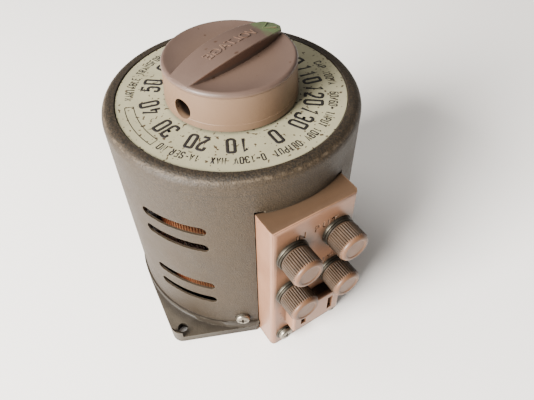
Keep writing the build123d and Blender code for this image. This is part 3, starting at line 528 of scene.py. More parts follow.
def drum_marks(tree, colour):
    """Darker rim, a pale line on the shoulder that is partly rubbed paint and partly a painted highlight,
    sandy grain, a seam, scratches, and darker towards the bottom.
    """
    split = position(tree)
    height = split.outputs["Z"]
    wobble = times(tree, noise(tree, 140.0, 4.0, 0.7).outputs[0], 1.2 * mm)
    level = minus(tree, height, wobble)
    on_rim = ramp(tree, level, rim_top - 1.5 * mm, rim_top - 0.8 * mm)
    colour = blend_colour(tree, on_rim, colour, RIM_BROWN)
    # Pale line on the shoulder: partly rubbed paint, partly a painted highlight.
    below = ramp(tree, level, rim_top - 2.1 * mm, rim_top - 1.8 * mm)
    above = inverse(tree, ramp(tree, level, rim_top - 1.4 * mm, rim_top - 1.1 * mm))
    patches = ramp(tree, noise(tree, 420.0, 5.0, 0.75).outputs[0], 0.44, 0.62)
    rubbed = times(tree, times(tree, below, above), patches)
    colour = blend_colour(tree, times(tree, rubbed, 0.6), colour, (0.095, 0.070, 0.046))
    sand = ramp(tree, noise(tree, 1700.0, 3.0, 0.75).outputs[0], 0.40, 0.62)
    colour = blend_colour(tree, times(tree, sand, 0.45), colour, scaled(DRUM_OLIVE, 2.1))
    seam = math_node(tree, "ABSOLUTE", minus(tree, height, rim_top - 6.1 * mm))
    line = inverse(tree, ramp(tree, seam, 0.10 * mm, 0.35 * mm))
    colour = blend_colour(tree, times(tree, line, 0.45), colour, DIRT_AND_SHADE)
    streaks = place(tree, "ShaderNodeMapping", vector=here(tree), scale=(1.0, 1.0, 0.22))
    fine = place(tree, "ShaderNodeTexNoise", vector=streaks.outputs[0],
                 scale=260.0, detail=5.0, roughness=0.7)
    scratch = times(tree, ramp(tree, fine.outputs[0], 0.66, 0.72), 0.40)
    colour = blend_colour(tree, scratch, colour, (0.060, 0.044, 0.028))
    # Darker towards the bottom.
    foot = inverse(tree, ramp(tree, minus(tree, height, math_node(
        tree, "MULTIPLY", noise(tree, 110.0, 5.0, 0.7).outputs[0], 30 * mm)), -8 * mm, 12 * mm))
    return blend_colour(tree, times(tree, foot, 0.45), colour, DIRT_AND_SHADE)


drum_paint = surface("drum_paint", DRUM_OLIVE, 0.58, DRUM_SHADE, 55.0, spots=(1500.0, 0.30, DIRT_AND_SHADE),
                     dirt_and_shade=(3 * mm, 0.6, 250.0, DIRT_AND_SHADE), wear=(0.5 * mm, 0.35, 300.0, BARE_ALLOY),
                     bump=(1900.0, 0.22 * mm), change_colour=drum_marks)
give(drum, drum_paint, "frame", "drum_paint", "housing")

# Dial: thin plate seated in the drum's top, cream enamel with black print, specked by age.
# Its ring of small print runs clockwise with the tops of the letters outward.
DIAL_CREAM = (0.265, 0.245, 0.158)
DIAL_SHADE = (0.225, 0.208, 0.132)
PRINT_BLACK = (0.006, 0.005, 0.005)
dial_low, dial_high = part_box("dial_plate")
dial_radius = dial_high.x
zero_angle = -1.2
full_angle = 25.4
volts_top = 130
volts_step = 10
number_radius = 29.1 * mm
number_height = 7.3 * mm
print_radius = 36.1 * mm
print_height = 3.3 * mm
print_lift = 0.03 * mm

dial_hole = 9.0 * mm
dial_edge = 0.2 * mm
dial = lathe("dial", [(dial_hole, dial_low.z), (dial_radius, dial_low.z),
                      (dial_radius, dial_high.z - dial_edge),
                      (dial_radius - dial_edge, dial_high.z), (dial_hole, dial_high.z)], 192)
shade(dial, 25)
dial_enamel = surface("dial_enamel", DIAL_CREAM, 0.42, DIAL_SHADE, 70.0,
                      spots=(750.0, 0.62, (0.045, 0.031, 0.017)), dirt_and_shade=(1.2 * mm, 0.7, 250.0, DIRT_AND_SHADE),
                      wear=(0.4 * mm, 0.5, 300.0, DIRT_AND_SHADE), bump=(900.0, 0.02 * mm))
give(dial, dial_enamel, "frame", "dial_paint", "dial_plate")


# Narrow rounded figures and capitals as strokes on a cell 1 wide and 2 high. O starts a stroke
# with rounded corners, S one with sharp corners.
GLYPHS = {
    "0": ["O", (0.5, 2), (1, 2), (1, 0), (0, 0), (0, 2), (0.5, 2)],
    "1": ["S", (0.1, 1.6), (0.55, 1.95), (0.55, 0)],
    "2": ["O", (0, 1.45), (0, 2), (1, 2), (1, 1.2), (0, 0.1), "S", (0, 0), (1, 0)],
    "3": ["O", (0, 1.5), (0, 2), (1, 2), (1, 1.05), (0.35, 1.05),
          "O", (0.35, 1.05), (1, 1.05), (1, 0), (0, 0), (0, 0.5)],
    "4": ["S", (1, 0.5), (0, 0.5), (0.6, 2), "S", (0.75, 1.1), (0.75, 0)],
    "5": ["S", (0.95, 2), (0.08, 2), (0.05, 1.0),
          "O", (0.05, 1.0), (0.05, 1.28), (1, 1.28), (1, 0), (0, 0), (0, 0.5)],
    "6": ["O", (1, 1.6), (1, 2), (0, 2), (0, 0), (1, 0), (1, 1.15), (0.1, 1.15)],
    "7": ["S", (0, 2), (1, 2), (0.35, 0)],
    "8": ["O", (0.5, 1.05), (0.95, 1.05), (0.95, 2), (0.05, 2), (0.05, 1.05), (0.5, 1.05),
          "O", (0.5, 1.05), (1, 1.05), (1, 0), (0, 0), (0, 1.05), (0.5, 1.05)],
    "9": ["O", (0, 0.4), (0, 0), (1, 0), (1, 2), (0, 2), (0, 0.85), (0.9, 0.85)],
    "A": ["S", (0, 0), (0.5, 2), (1, 0), "S", (0.18, 0.65), (0.82, 0.65)],
    "B": ["S", (0, 0), (0, 2), "O", (0, 2), (0.92, 2), (0.92, 1.05), (0, 1.05),
          "O", (0, 1.05), (1, 1.05), (1, 0), (0, 0)],
    "C": ["O", (1, 1.5), (1, 2), (0, 2), (0, 0), (1, 0), (1, 0.5)],
    "E": ["S", (0.95, 2), (0, 2), (0, 0), (0.95, 0), "S", (0, 1.05), (0.8, 1.05)],
    "F": ["S", (0.95, 2), (0, 2), (0, 0), "S", (0, 1.05), (0.8, 1.05)],
    "I": ["S", (0.5, 0), (0.5, 2)],
    "L": ["S", (0, 2), (0, 0), (0.9, 0)],
    "M": ["S", (0, 0), (0, 2), (0.5, 0.7), (1, 2), (1, 0)],
    "N": ["S", (0, 0), (0, 2), (1, 0), (1, 2)],
    "O": ["O", (0.5, 2), (1, 2), (1, 0), (0, 0), (0, 2), (0.5, 2)],
    "P": ["S", (0, 0), (0, 2), "O", (0, 2), (1, 2), (1, 0.95), (0, 0.95)],
    "R": ["S", (0, 0), (0, 2), "O", (0, 2), (1, 2), (1, 0.95), (0, 0.95), "S", (0.45, 0.95), (1, 0)],
    "S": ["O", (1, 1.5), (1, 2), (0, 2), (0, 1.05), (1, 1.05), (1, 0), (0, 0), (0, 0.5)],
    "T": ["S", (0, 2), (1, 2), "S", (0.5, 2), (0.5, 0)],
    "U": ["O", (0, 2), (0, 0), (1, 0), (1, 2)],
    "V": ["S", (0, 2), (0.5, 0), (1, 2)],
    "X": ["S", (0, 0), (1, 2), "S", (0, 2), (1, 0)],
    "/": ["S", (0.1, 0), (0.9, 2)],
    "~": ["O", (0, 0.75), (0.25, 1.25), (0.75, 0.75), (1, 1.25)],
    ".": ["S", (0.35, 0), (0.35, 0.14)],
    "-": ["S", (0.1, 1), (0.9, 1)],
}


def round_corners(points, radius):
    """Replace each inner corner of a line with a curve."""
    path = [points[0]]
    for before, corner, after in zip(points, points[1:], points[2:]):
        back, on = before - corner, after - corner
        reach = min(radius, back.length / 2, on.length / 2)
        start, end = corner + back.normalized() * reach, corner + on.normalized() * reach
        for step in range(7):
            t = step / 6
            path.append(start * (1 - t) ** 2 + corner * 2 * t * (1 - t) + end * t ** 2)
    path.append(points[-1])
    return path


def drawn(words, height, width, pitch, stroke, lift=0.02 * mm):
    """Lettering of even strokes in the XY plane, centred sideways, standing on the X axis."""
    curve = bpy.data.curves.new("lettering", "CURVE")
    curve.dimensions = "3D"
    curve.bevel_depth = stroke / 2
    curve.bevel_resolution = 1
    curve.use_fill_caps = True
    for number, letter in enumerate(words):
        left = (number - (len(words) - 1) / 2) * pitch - width / 2
        strokes = []
        for item in GLYPHS.get(letter, []):
            if isinstance(item, str):
                strokes.append((item, []))
            else:
                up = item[1] * (height - stroke) / 2 + stroke / 2
                strokes[-1][1].append(Vector((left + item[0] * width, up, 0)))
        for kind, points in strokes:
            path = round_corners(points, width * 0.5) if kind == "O" else points
            line = curve.splines.new("POLY")
            line.points.add(len(path) - 1)
            for point, place_at in zip(line.points, path):
                point.co = (*place_at, 1)
    text = bpy.data.objects.new("lettering", curve)
    add_to_scene(text)
    take(text)
    bpy.ops.object.convert(target="MESH")
    text = bpy.context.active_object
    text.scale = (1, 1, lift / (stroke / 2))
    return settle(text)


def lay_round(text, radius, angle, level, height):
    """Lay lettering flat on the dial: centred on a radius, tops outward, reading clockwise."""
    text.matrix_world = (Matrix.Rotation(math.radians(angle), 4, "Z")
                         @ Matrix.Translation((0, -(radius - height / 2), level))
                         @ Matrix.Rotation(math.pi, 4, "Z"))
    return settle(text)


numbers = []
sweep = 360 - (full_angle - zero_angle)
for volts in range(0, volts_top + 1, volts_step):
    angle = zero_angle - sweep * volts / volts_top
    number = drawn(str(volts), number_height, 2.35 * mm, 4.1 * mm, 1.15 * mm)
    numbers.append(lay_round(number, number_radius, angle, dial_high.z, number_height))
print_ink = surface("print_ink", PRINT_BLACK, 0.55, (0.014, 0.012, 0.010), 900.0)
give(join(numbers, "dial_numbers"), print_ink, "frame", "dial_paint")

ring_words = [("CAP.", 82.0), ("100VA", 68.9), ("50/60~", 47.5), ("INPUT", 30.6), ("100V", 16.0),
              ("OUTPUT", -1.0), ("0~130V", -21.4), ("MAX.", -38.3), ("1A", -49.2), ("-SER.NO.", -62.5),
              ("VARIABLE", -125.0), ("TRANSFORMER", -154.0), ("VOLTS AC", 175.0)]
letters = []
letter_step = math.degrees(1.72 * mm / print_radius)
for words, centre in ring_words:
    for number, letter in enumerate(words):
        if letter != " ":
            angle = centre + ((len(words) - 1) / 2 - number) * letter_step
            shape = drawn(letter, print_height, 0.98 * mm, 0.0, 0.52 * mm)
            letters.append(lay_round(shape, print_radius, angle, dial_high.z, print_height))


def dial_line(start, end, inner, outer):
    """Thin printed band between two angles and two radii."""
    steps = 24
    turn = [start + (end - start) * step / steps for step in range(steps + 1)]
    corners = []
    for radius in (inner, outer):
        for angle in turn:
            a = math.radians(angle)
            corners.append((radius * math.sin(a), -radius * math.cos(a), dial_high.z + print_lift))
    count = steps + 1
    faces = [(i, i + 1, count + i + 1, count + i) for i in range(steps)]
    mesh = bpy.data.meshes.new("line")
    mesh.from_pydata(corners, [], faces)
    line = bpy.data.objects.new("line", mesh)
    add_to_scene(line)
    return line


box_start, box_end = -74.0, -108.0
thin = 0.28 * mm
outer_line = print_radius + print_height / 2
inner_line = print_radius - print_height / 2
letters.append(dial_line(box_start, box_end, inner_line, inner_line + thin))
letters.append(dial_line(box_start, box_end, outer_line - thin, outer_line))
for edge_angle in (box_start, box_end):
    letters.append(dial_line(edge_angle, edge_angle + 0.45, inner_line, outer_line))
ring_print = tidy_normals(join(letters, "dial_ring_print"))
give(ring_print, print_ink, "frame", "dial_paint")

# Knob: one hollow moulding with a rounded lip, a shallow dished top and an arched ridge whose
# end is the pointer. A well in the side opens on the set screw. Taupe-pink plastic with old green
# paint on the pointer; its side is painted paler and warmer as lit, its top darker as shaded.
KNOB_SIDE_LIT_PINK = (0.128, 0.078, 0.047)
KNOB_TAUPE_SHADED_TOP = (0.078, 0.050, 0.039)
RIDGE_WALL_LIT_RED = (0.105, 0.050, 0.030)
POINTER_GREEN = (0.075, 0.115, 0.045)
rest_angle = 103.6
knob_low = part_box("knob")[0]
knob_bottom = knob_low.z
knob_rim = knob_bottom + 14.3 * mm
base_r, neck_r, rim_r = 23.6 * mm, 22.84 * mm, 23.0 * mm
lip = 1.3 * mm
lip_start = knob_rim - 1.9 * mm
mould_line = knob_bottom + 2.6 * mm
dish_floor = knob_rim - 0.9 * mm
rim_inside = rim_r - 2.0 * mm
hollow_top = knob_rim - 3.6 * mm
hollow_radius = neck_r - 2.4 * mm
hub_radius = 9.5 * mm
insert_radius = 6.0 * mm
well_radius = 3.5 * mm
well_level = knob_bottom + 5.2 * mm
well_bearing = 183.8
ridge_half, ridge_end_half = 6.6 * mm, 4.4 * mm
ridge_crown, tip_rise = 3.5 * mm, 0.9 * mm
tail = rim_r - 0.6 * mm
tip = rim_r + 0.7 * mm

knob_outline = [(insert_radius, knob_bottom), (hub_radius, knob_bottom), (hub_radius, hollow_top)]
knob_outline += [(hollow_radius, hollow_top), (hollow_radius, knob_bottom)]
knob_outline += [(base_r - 0.3 * mm, knob_bottom), (base_r, knob_bottom + 0.3 * mm)]
knob_outline += [(base_r - 0.10 * mm, mould_line), (base_r - 0.17 * mm, mould_line + 0.08 * mm)]
knob_outline += [(neck_r, lip_start), (rim_r - 0.08 * mm, lip_start + 0.12 * mm),
                 (rim_r, lip_start + 0.35 * mm)]
knob_outline += arc((rim_r - lip, knob_rim - lip), lip, 0, 90, 8)
for inset, drop in ((0.0, 0.13), (1.2, 0.33), (3.2, 0.60), (6.2, 0.82), (9.2, 0.90)):
    knob_outline.append((rim_inside - inset * mm, knob_rim - drop * mm))
knob_outline += [(insert_radius, dish_floor)]
knob = lathe("knob_body", knob_outline, 192)
plug = lathe("plug", [(0.0, hollow_top), (insert_radius + 0.5 * mm, hollow_top),
                      (insert_radius + 0.5 * mm, dish_floor), (0.0, dish_floor)], 64)


def crown_height(along):
    """Height of the ridge's top; along is the distance from the shaft towards the pointer."""
    ends = ((-tail, -0.1 * mm), (0.0, ridge_crown), (tip, tip_rise))
    total = 0.0
    for i, (place_i, rise) in enumerate(ends):
        share = 1.0
        for j, (place_j, _) in enumerate(ends):
            if i != j:
                share *= (along - place_j) / (place_i - place_j)
        total += rise * share
    return knob_rim + total


def ridge_half_width(along):
    shoulder_start = tip - 2.6 * mm
    if along > shoulder_start:
        share = (along - shoulder_start) / (tip - shoulder_start)
        return ridge_end_half + (1.4 * mm - ridge_end_half) * share
    length = tail if along < 0 else shoulder_start
    return ridge_end_half + (ridge_half - ridge_end_half) * (1 - (along / length) ** 2)


deselect()
bpy.ops.mesh.primitive_grid_add(x_subdivisions=6, y_subdivisions=48, size=2)
ridge = bpy.context.active_object
ridge.name = "ridge"
for vertex in ridge.data.vertices:
    along = -tail + (tip + tail) * (vertex.co.y + 1) / 2
    vertex.co = (vertex.co.x * ridge_half_width(along), -along, crown_height(along))
edit(ridge)
bpy.ops.mesh.extrude_region_move()
leave_edit()
for vertex in ridge.data.vertices:
    if vertex.select:
        vertex.co.z = dish_floor - 0.5 * mm
tidy_normals(ridge)
break_edges(ridge, 0.45 * mm, 3, 50)
deselect()
bpy.ops.mesh.primitive_cylinder_add(vertices=64, radius=well_radius, depth=22 * mm,
                                    location=(0, -(insert_radius + 8 * mm), well_level),
                                    rotation=(math.pi / 2, 0, 0))
well = settle(bpy.context.active_object)
deselect()
bpy.ops.mesh.primitive_cylinder_add(vertices=64, radius=well_radius + 1.5 * mm, depth=neck_r - hub_radius,
                                    location=(0, -(neck_r + hub_radius - 2 * mm) / 2, well_level),
                                    rotation=(math.pi / 2, 0, 0))
well_wall = settle(bpy.context.active_object)
turn_about_shaft(well, well_bearing)
turn_about_shaft(well_wall, well_bearing)
carve(knob, [plug, ridge, well_wall], "UNION")
carve(knob, [well])
turn_about_shaft(knob, rest_angle)
shade(knob, 32)


def knob_marks(tree, colour):
    """Painted light and shade: a paler side against a darker top, and brighter, redder ridge walls; a worn
    green tip to the ridge; painted shade in the set-screw well.
    """
    split = position(tree)
    # Painted light and shade: the side takes the paler pink as lit, the top keeps the darker taupe as
    # shaded.
    on_top = ramp(tree, split.outputs["Z"], lip_start - 0.5 * mm, knob_rim - 0.4 * mm)
    colour = blend_colour(tree, on_top, KNOB_SIDE_LIT_PINK, colour)
    turn = math.radians(rest_angle)
    along = plus(tree, times(tree, split.outputs["X"], math.sin(turn)),
                      times(tree, split.outputs["Y"], -math.cos(turn)))
    ragged = plus(tree, along, times(tree, noise(tree, 170.0, 5.0, 0.7).outputs[0], 9 * mm))
    near_tip = ramp(tree, ragged, 17.5 * mm, 21.5 * mm)
    raised = ramp(tree, split.outputs["Z"], knob_rim + 0.2 * mm, knob_rim + 0.6 * mm)
    patches = ramp(tree, noise(tree, 260.0, 5.0, 0.7).outputs[0], 0.25, 0.52)
    # Painted light: the steep ridge walls are made brighter and redder.
    normal = facing(tree)
    steep = inverse(tree, ramp(tree, normal.outputs["Z"], 0.35, 0.75))
    lit_wall = times(tree, times(tree, steep, raised), 0.6)
    colour = blend_colour(tree, lit_wall, colour, RIDGE_WALL_LIT_RED)
    level_part = inverse(tree, times(tree, steep, 0.65))
    green = times(tree, times(tree, near_tip, raised), times(tree, patches, level_part))
    colour = blend_colour(tree, times(tree, green, 0.8), colour, POINTER_GREEN)
    # Painted shade: near black deep inside the set-screw well.
    bearing = math.radians(well_bearing + rest_angle)
    sideways = plus(tree, times(tree, split.outputs["X"], math.cos(bearing)),
                         times(tree, split.outputs["Y"], math.sin(bearing)))
    rise = minus(tree, split.outputs["Z"], well_level)
    squares = plus(tree, times(tree, sideways, sideways), times(tree, rise, rise))
    in_well_shade = math_node(tree, "LESS_THAN", math_node(tree, "SQRT", squares), well_radius + 0.1 * mm)
    depth = inverse(tree, ramp(tree, off_axis(tree, split), neck_r - 2.0 * mm, neck_r - 0.3 * mm))
    return blend_colour(tree, times(tree, in_well_shade, depth), colour, (0.010, 0.006, 0.004))


knob_plastic = surface("knob_plastic", KNOB_TAUPE_SHADED_TOP, 0.42, scaled(KNOB_TAUPE_SHADED_TOP, 0.9), 45.0,
                       spots=(420.0, 0.22, (0.045, 0.024, 0.015)),
                       dirt_and_shade=(2.5 * mm, 0.55, 200.0, (0.045, 0.025, 0.015)),
                       wear=(0.7 * mm, 0.35, 200.0, (0.22, 0.145, 0.100)), bump=(1200.0, 0.025 * mm),
                       change_colour=knob_marks)
give(knob, knob_plastic, "rotor", "knob_plastic", "knob")

# Raised word and arrow on the ridge, moulded with the knob. The word reads from the pointer
# towards the tail.
word_height = 3.4 * mm
word_relief = 0.22 * mm


def lettering(words, height, narrow=1.0, thickness=0.02 * mm, weight=0.0):
    """Plain lettering with flat sides in the XY plane, centred sideways, as a mesh."""
    deselect()
    bpy.ops.object.text_add()
    text = bpy.context.active_object
    text.data.body = words
    text.data.size = height / 0.70
    text.data.align_x = "CENTER"
    text.data.extrude = thickness / 2
    text.data.offset = weight
    text.data.resolution_u = 5
    bpy.ops.object.convert(target="MESH")
    text = bpy.context.active_object
    text.scale = (narrow, 1, 1)
    return settle(text)


word = lettering("VOLTAGE", word_height, 1.05, 2 * word_relief)
take(word)
edit(word)
for pass_number in range(2):
    bpy.ops.mesh.subdivide(number_cuts=1)
leave_edit()
slant = 0.25
for vertex in word.data.vertices:
    side, up, lift = vertex.co
    along = 1.5 * mm - side - slant * up
    across = up - word_height / 2
    vertex.co = (across, -along, crown_height(along) + lift)


def arrow_stroke(side):
    stroke = block_shape("stroke", (-0.28 * mm, -2.4 * mm, -word_relief), (0.28 * mm, 2.4 * mm, word_relief))
    stroke.matrix_world = (Matrix.Translation((side * 1.15 * mm, -18.4 * mm, crown_height(18.4 * mm)))
                           @ Matrix.Rotation(math.radians(6), 4, "X")
                           @ Matrix.Rotation(side * math.radians(28), 4, "Z"))
    return settle(stroke)


relief = join([word, arrow_stroke(1), arrow_stroke(-1)], "knob_relief")
turn_about_shaft(relief, rest_angle)
give(relief, knob_plastic, "rotor", "knob_plastic")

# Terminal block: a hollow moulding that stands against the drum, with its legends sunk into the
# face and a raised outlet at the foot. Pink-beige plastic, dirty round the posts and darker on the
# outlet, with a painted shadow on its top and painted shade where it stands inside the drum.
BLOCK_PINK = (0.215, 0.108, 0.062)
BLOCK_SHADE = (0.180, 0.088, 0.050)
BLOCK_DIRT_AND_SHADE = (0.034, 0.024, 0.014)
block = welded_copy("terminal_cover", "terminal_block", 35)
face_y = -52.5 * mm
post_x = 9.5 * mm
post_levels = (37.4 * mm, 60.0 * mm)
outlet_top = 28.6 * mm


def engrave(words, x, z, height, narrow=1.0, depth=0.35 * mm):
    """Cutter for sunk lettering on the block's face."""
    shape = lettering(words, height, narrow, 2 * depth, weight=0.14 * mm)
    upright = Matrix.Rotation(math.pi / 2, 4, "X")
    shape.matrix_world = Matrix.Translation((x, face_y, z - height / 2)) @ upright
    return settle(shape)


legends = []
legend_height = 3.0 * mm
for level in (66.7 * mm, 45.2 * mm):
    for number, letter in enumerate("PUT"):
        legends.append(engrave(letter, (0.4 + 3.7 * number) * mm, level, legend_height))
legends.append(engrave("IN", -6.2 * mm, 66.7 * mm, legend_height))
legends.append(engrave("OUT", -5.6 * mm, 45.2 * mm, legend_height))
carve(block, [join(legends, "legends")])
shade(block, 35)


def block_marks(tree, colour):
    """Dirt round the posts; darker upward faces on the outlet; a painted shadow on the top; painted shade,
    near black, where the block is inside the drum.
    """
    split = position(tree)
    patches = noise(tree, 150.0, 6.0, 0.7).outputs[0]
    off_middle = minus(tree, math_node(tree, "ABSOLUTE", split.outputs["X"]), post_x)
    nearest = None
    for level in post_levels:
        rise = minus(tree, split.outputs["Z"], level)
        squares = plus(tree, math_node(tree, "POWER", off_middle, 2.0),
                            math_node(tree, "POWER", rise, 2.0))
        distance = math_node(tree, "SQRT", squares)
        nearest = distance if nearest is None else math_node(tree, "MINIMUM", nearest, distance)
    reach = plus(tree, nearest, times(tree, patches, 7 * mm))
    round_post = inverse(tree, ramp(tree, reach, 9.0 * mm, 15.0 * mm))
    at_front = math_node(tree, "LESS_THAN", split.outputs["Y"], face_y + 0.4 * mm)
    rubbed = times(tree, times(tree, round_post, at_front), 0.62)
    colour = blend_colour(tree, rubbed, colour, BLOCK_DIRT_AND_SHADE)
    # Upward faces low at the front, on the outlet, are darkened.
    normal = facing(tree)
    upward = ramp(tree, normal.outputs["Z"], 0.45, 0.75)
    low = math_node(tree, "LESS_THAN", split.outputs["Z"], outlet_top + 0.5 * mm)
    in_front = inverse(tree, ramp(tree, split.outputs["Y"], face_y - 4.6 * mm, face_y - 3.0 * mm))
    lying = times(tree, times(tree, upward, low), at_front)
    thick = minus(tree, 0.95, times(tree, in_front, 0.7))
    colour = blend_colour(tree, times(tree, lying, thick), colour, DIRT_AND_SHADE)
    # Painted shadow: the block's upward faces high up are darkened as if in the drum's shadow.
    high = math_node(tree, "GREATER_THAN", split.outputs["Z"], post_levels[1] + 8 * mm)
    top_shadow = times(tree, times(tree, upward, high), 0.80)
    colour = blend_colour(tree, top_shadow, colour, BLOCK_DIRT_AND_SHADE)
    # Painted shade: near black where the block stands inside the drum.
    in_shade = inverse(tree, ramp(tree, off_axis(tree, split), drum_radius - 0.9 * mm, drum_radius - 0.2 * mm))
    return blend_colour(tree, in_shade, colour, (0.004, 0.003, 0.002))


block_plastic = surface("block_plastic", BLOCK_PINK, 0.36, BLOCK_SHADE, 40.0,
                        spots=(480.0, 0.24, (0.06, 0.03, 0.018)), dirt_and_shade=(3.5 * mm, 0.75, 160.0, BLOCK_DIRT_AND_SHADE),
                        wear=(0.9 * mm, 0.30, 160.0, (0.36, 0.215, 0.140)), bump=(700.0, 0.02 * mm),
                        change_colour=block_marks)
give(block, block_plastic, "frame", "block_plastic", "terminal_cover")

# Binding posts: a fixed nickel collar against the face, a loose washer and a ribbed cap that
# screws along the stud. The cap is the block's plastic, brown with handling, dirty and darkened with
# painted shade between its ribs; its rim is rubbed clean.
NICKEL = (0.060, 0.053, 0.041)
CAP_BROWN = (0.040, 0.023, 0.0120)
CAP_PINK = (0.105, 0.052, 0.027)
rib_count = 40
rib_steps = 8
rib_cut = 0.34 * mm
nickel = surface("nickel", NICKEL, 0.42, scaled(NICKEL, 0.6), 300.0, metallic=0.9,
                 dirt_and_shade=(1.5 * mm, 0.9, 400.0, DIRT_AND_SHADE), bump=(900.0, 0.01 * mm))


def on_face(piece, x, z):
    """Turn a piece made along Z to point along -Y, and put it on the block's face at x, z."""
    piece.matrix_world = Matrix.Translation((x, 0, z)) @ Matrix.Rotation(math.pi / 2, 4, "X")
    return settle(piece)


def post_cap(name, node):
    low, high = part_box(node)
    rear, front = -high.y, -low.y
    radius = (high.x - low.x) / 2
    bore, bore_end = 2.06 * mm, front - 1.1 * mm
    plain = radius - 0.30 * mm
    dish = radius * 0.66
    outline = [(bore, rear), (plain - 0.1 * mm, rear), (plain, rear + 0.1 * mm), (plain, rear + 0.5 * mm)]
    outline += [(radius, rear + 0.75 * mm), (radius, front - 1.5 * mm), (plain, front - 1.2 * mm)]
    outline += [(plain, front - 0.95 * mm), (plain - 0.25 * mm, front - 0.45 * mm)]
    outline += [(plain - 0.6 * mm, front - 0.14 * mm), (plain - 1.0 * mm, front)]
    outline += [(dish + 0.25 * mm, front), (dish, front - 0.10 * mm), (dish - 0.2 * mm, front - 0.28 * mm)]
    outline += [(0.0, front - 0.32 * mm), (0.0, bore_end), (bore, bore_end)]
    piece = lathe(name, outline, rib_count * rib_steps)
    for vertex in piece.data.vertices:
        distance = math.hypot(vertex.co.x, vertex.co.y)
        if distance > radius - 0.02 * mm:
            turn = math.atan2(vertex.co.y, vertex.co.x) * rib_count / (2 * math.pi) % 1.0
            groove = max(0.0, 1.0 - abs(turn - 0.5) / 0.30)
            vertex.co.xy *= 1 - rib_cut * groove / distance
    shade(piece, 28)
    return on_face(piece, (low.x + high.x) / 2, (low.z + high.z) / 2)


def cap_marks(tree, colour):
    """Rim and end rubbed back to pink."""
    split = position(tree)
    wobble = times(tree, noise(tree, 500.0, 4.0, 0.7).outputs[0], 1.0 * mm)
    forward = minus(tree, wobble, split.outputs["Y"])
    clean = ramp(tree, forward, cap_front - 1.3 * mm, cap_front - 0.6 * mm)
    return blend_colour(tree, clean, colour, CAP_PINK)


cap_front = -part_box("cap_output_left")[0].y
cap_plastic = surface("post_cap_plastic", CAP_BROWN, 0.45, scaled(CAP_BROWN, 0.72), 160.0,
                      spots=(900.0, 0.30, DIRT_AND_SHADE), dirt_and_shade=(0.9 * mm, 1.0, 500.0, (0.020, 0.012, 0.007)),
                      wear=(0.35 * mm, 0.45, 300.0, (0.135, 0.080, 0.048)), bump=(1100.0, 0.03 * mm),
                      change_colour=cap_marks)
collar_low, collar_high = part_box("post_collars")
collar_rear, collar_front = -collar_high.y, -collar_low.y
collar_radius = collar_high.x - post_x
collars = []
post_names = (("output_left", -1, 0), ("output_right", 1, 0), ("input_left", -1, 1), ("input_right", 1, 1))
for name, side, row in post_names:
    x, z = side * post_x, post_levels[row]
    outline = [(2.05 * mm, collar_rear), (collar_radius, collar_rear),
               (collar_radius, collar_front - 0.35 * mm)]
    outline += [(collar_radius - 0.12 * mm, collar_front - 0.1 * mm),
                (collar_radius - 0.4 * mm, collar_front)]
    outline += [(2.05 * mm, collar_front)]
    collars.append(on_face(shade(lathe("collar", outline, 72), 30), x, z))
    low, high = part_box("washer_" + name)
    rear, front = -high.y, -low.y
    radius = (high.x - low.x) / 2
    outline = [(2.1 * mm, rear), (radius - 0.1 * mm, rear), (radius, rear + 0.15 * mm),
               (radius, front - 0.15 * mm)]
    outline += [(radius - 0.15 * mm, front), (2.1 * mm, front)]
    washer = on_face(shade(lathe("washer_" + name + "_ring", outline, 72), 30), x, z)
    give(washer, nickel, "washer_" + name, "nickel", "washer_" + name)
    cap_node = "cap_" + name
    give(post_cap("ribbed_cap_" + name, cap_node), cap_plastic, cap_node, "post_cap_plastic", cap_node)
give(join(collars, "collars"), nickel, "frame", "nickel", "post_collars")

# Screws: plated cross-head screws that hold the drum to the base and the block to its lug, with
# plain washers under the block's pair. Dull, dirty and darkened with painted shade in the crosses.
STEEL = (0.24, 0.215, 0.175)
screw_steel = surface("screw_steel", STEEL, 0.36, scaled(STEEL, 0.55), 500.0, metallic=0.9,
                      dirt_and_shade=(1.2 * mm, 1.0, 500.0, DIRT_AND_SHADE), bump=(1200.0, 0.01 * mm))
for node, name in (("housing_screws", "drum_screws"), ("terminal_screws", "block_screws"),
                   ("knob_set_screw", "set_screw")):
    body = "rotor" if node == "knob_set_screw" else "frame"
    give(welded_copy(node, name, 30), screw_steel, body, "screw_steel", node)
give(welded_copy("terminal_washers", "block_washers", 30), nickel, "frame", "nickel", "terminal_washers")

# Winding: one layer of enamelled copper round the former, packed tight at the window and fanned
# out at the rim, with the enamel ground off in a track on top where the brush runs.
COPPER_BROWN = (0.145, 0.042, 0.018)
COPPER_BARE = (0.66, 0.29, 0.15)
wire_radius = 0.30 * mm
wire_turns = 190
coil_low, coil_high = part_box("winding")
coil_outer = (coil_high.x - coil_low.x) / 2
coil_inner = 19.0 * mm
winding_margin = 2.0
track_middle = 30.5 * mm
track_half = 3.4 * mm
corner = 1.9 * mm


def turn_path(bearing):
    """One turn of wire: an upright rounded loop in a plane through the shaft."""
    inner, outer = coil_inner + wire_radius, coil_outer - wire_radius
    low, high = coil_low.z + wire_radius, coil_high.z - wire_radius
    loop = []
    for centre, start in (((outer - corner, high - corner), 90), ((outer - corner, low + corner), 0),
                          ((inner + corner, low + corner), -90), ((inner + corner, high - corner), -180)):
        loop += arc(centre, corner, start, start - 90, 4)
    return [(radius * math.sin(bearing), -radius * math.cos(bearing), height) for radius, height in loop]


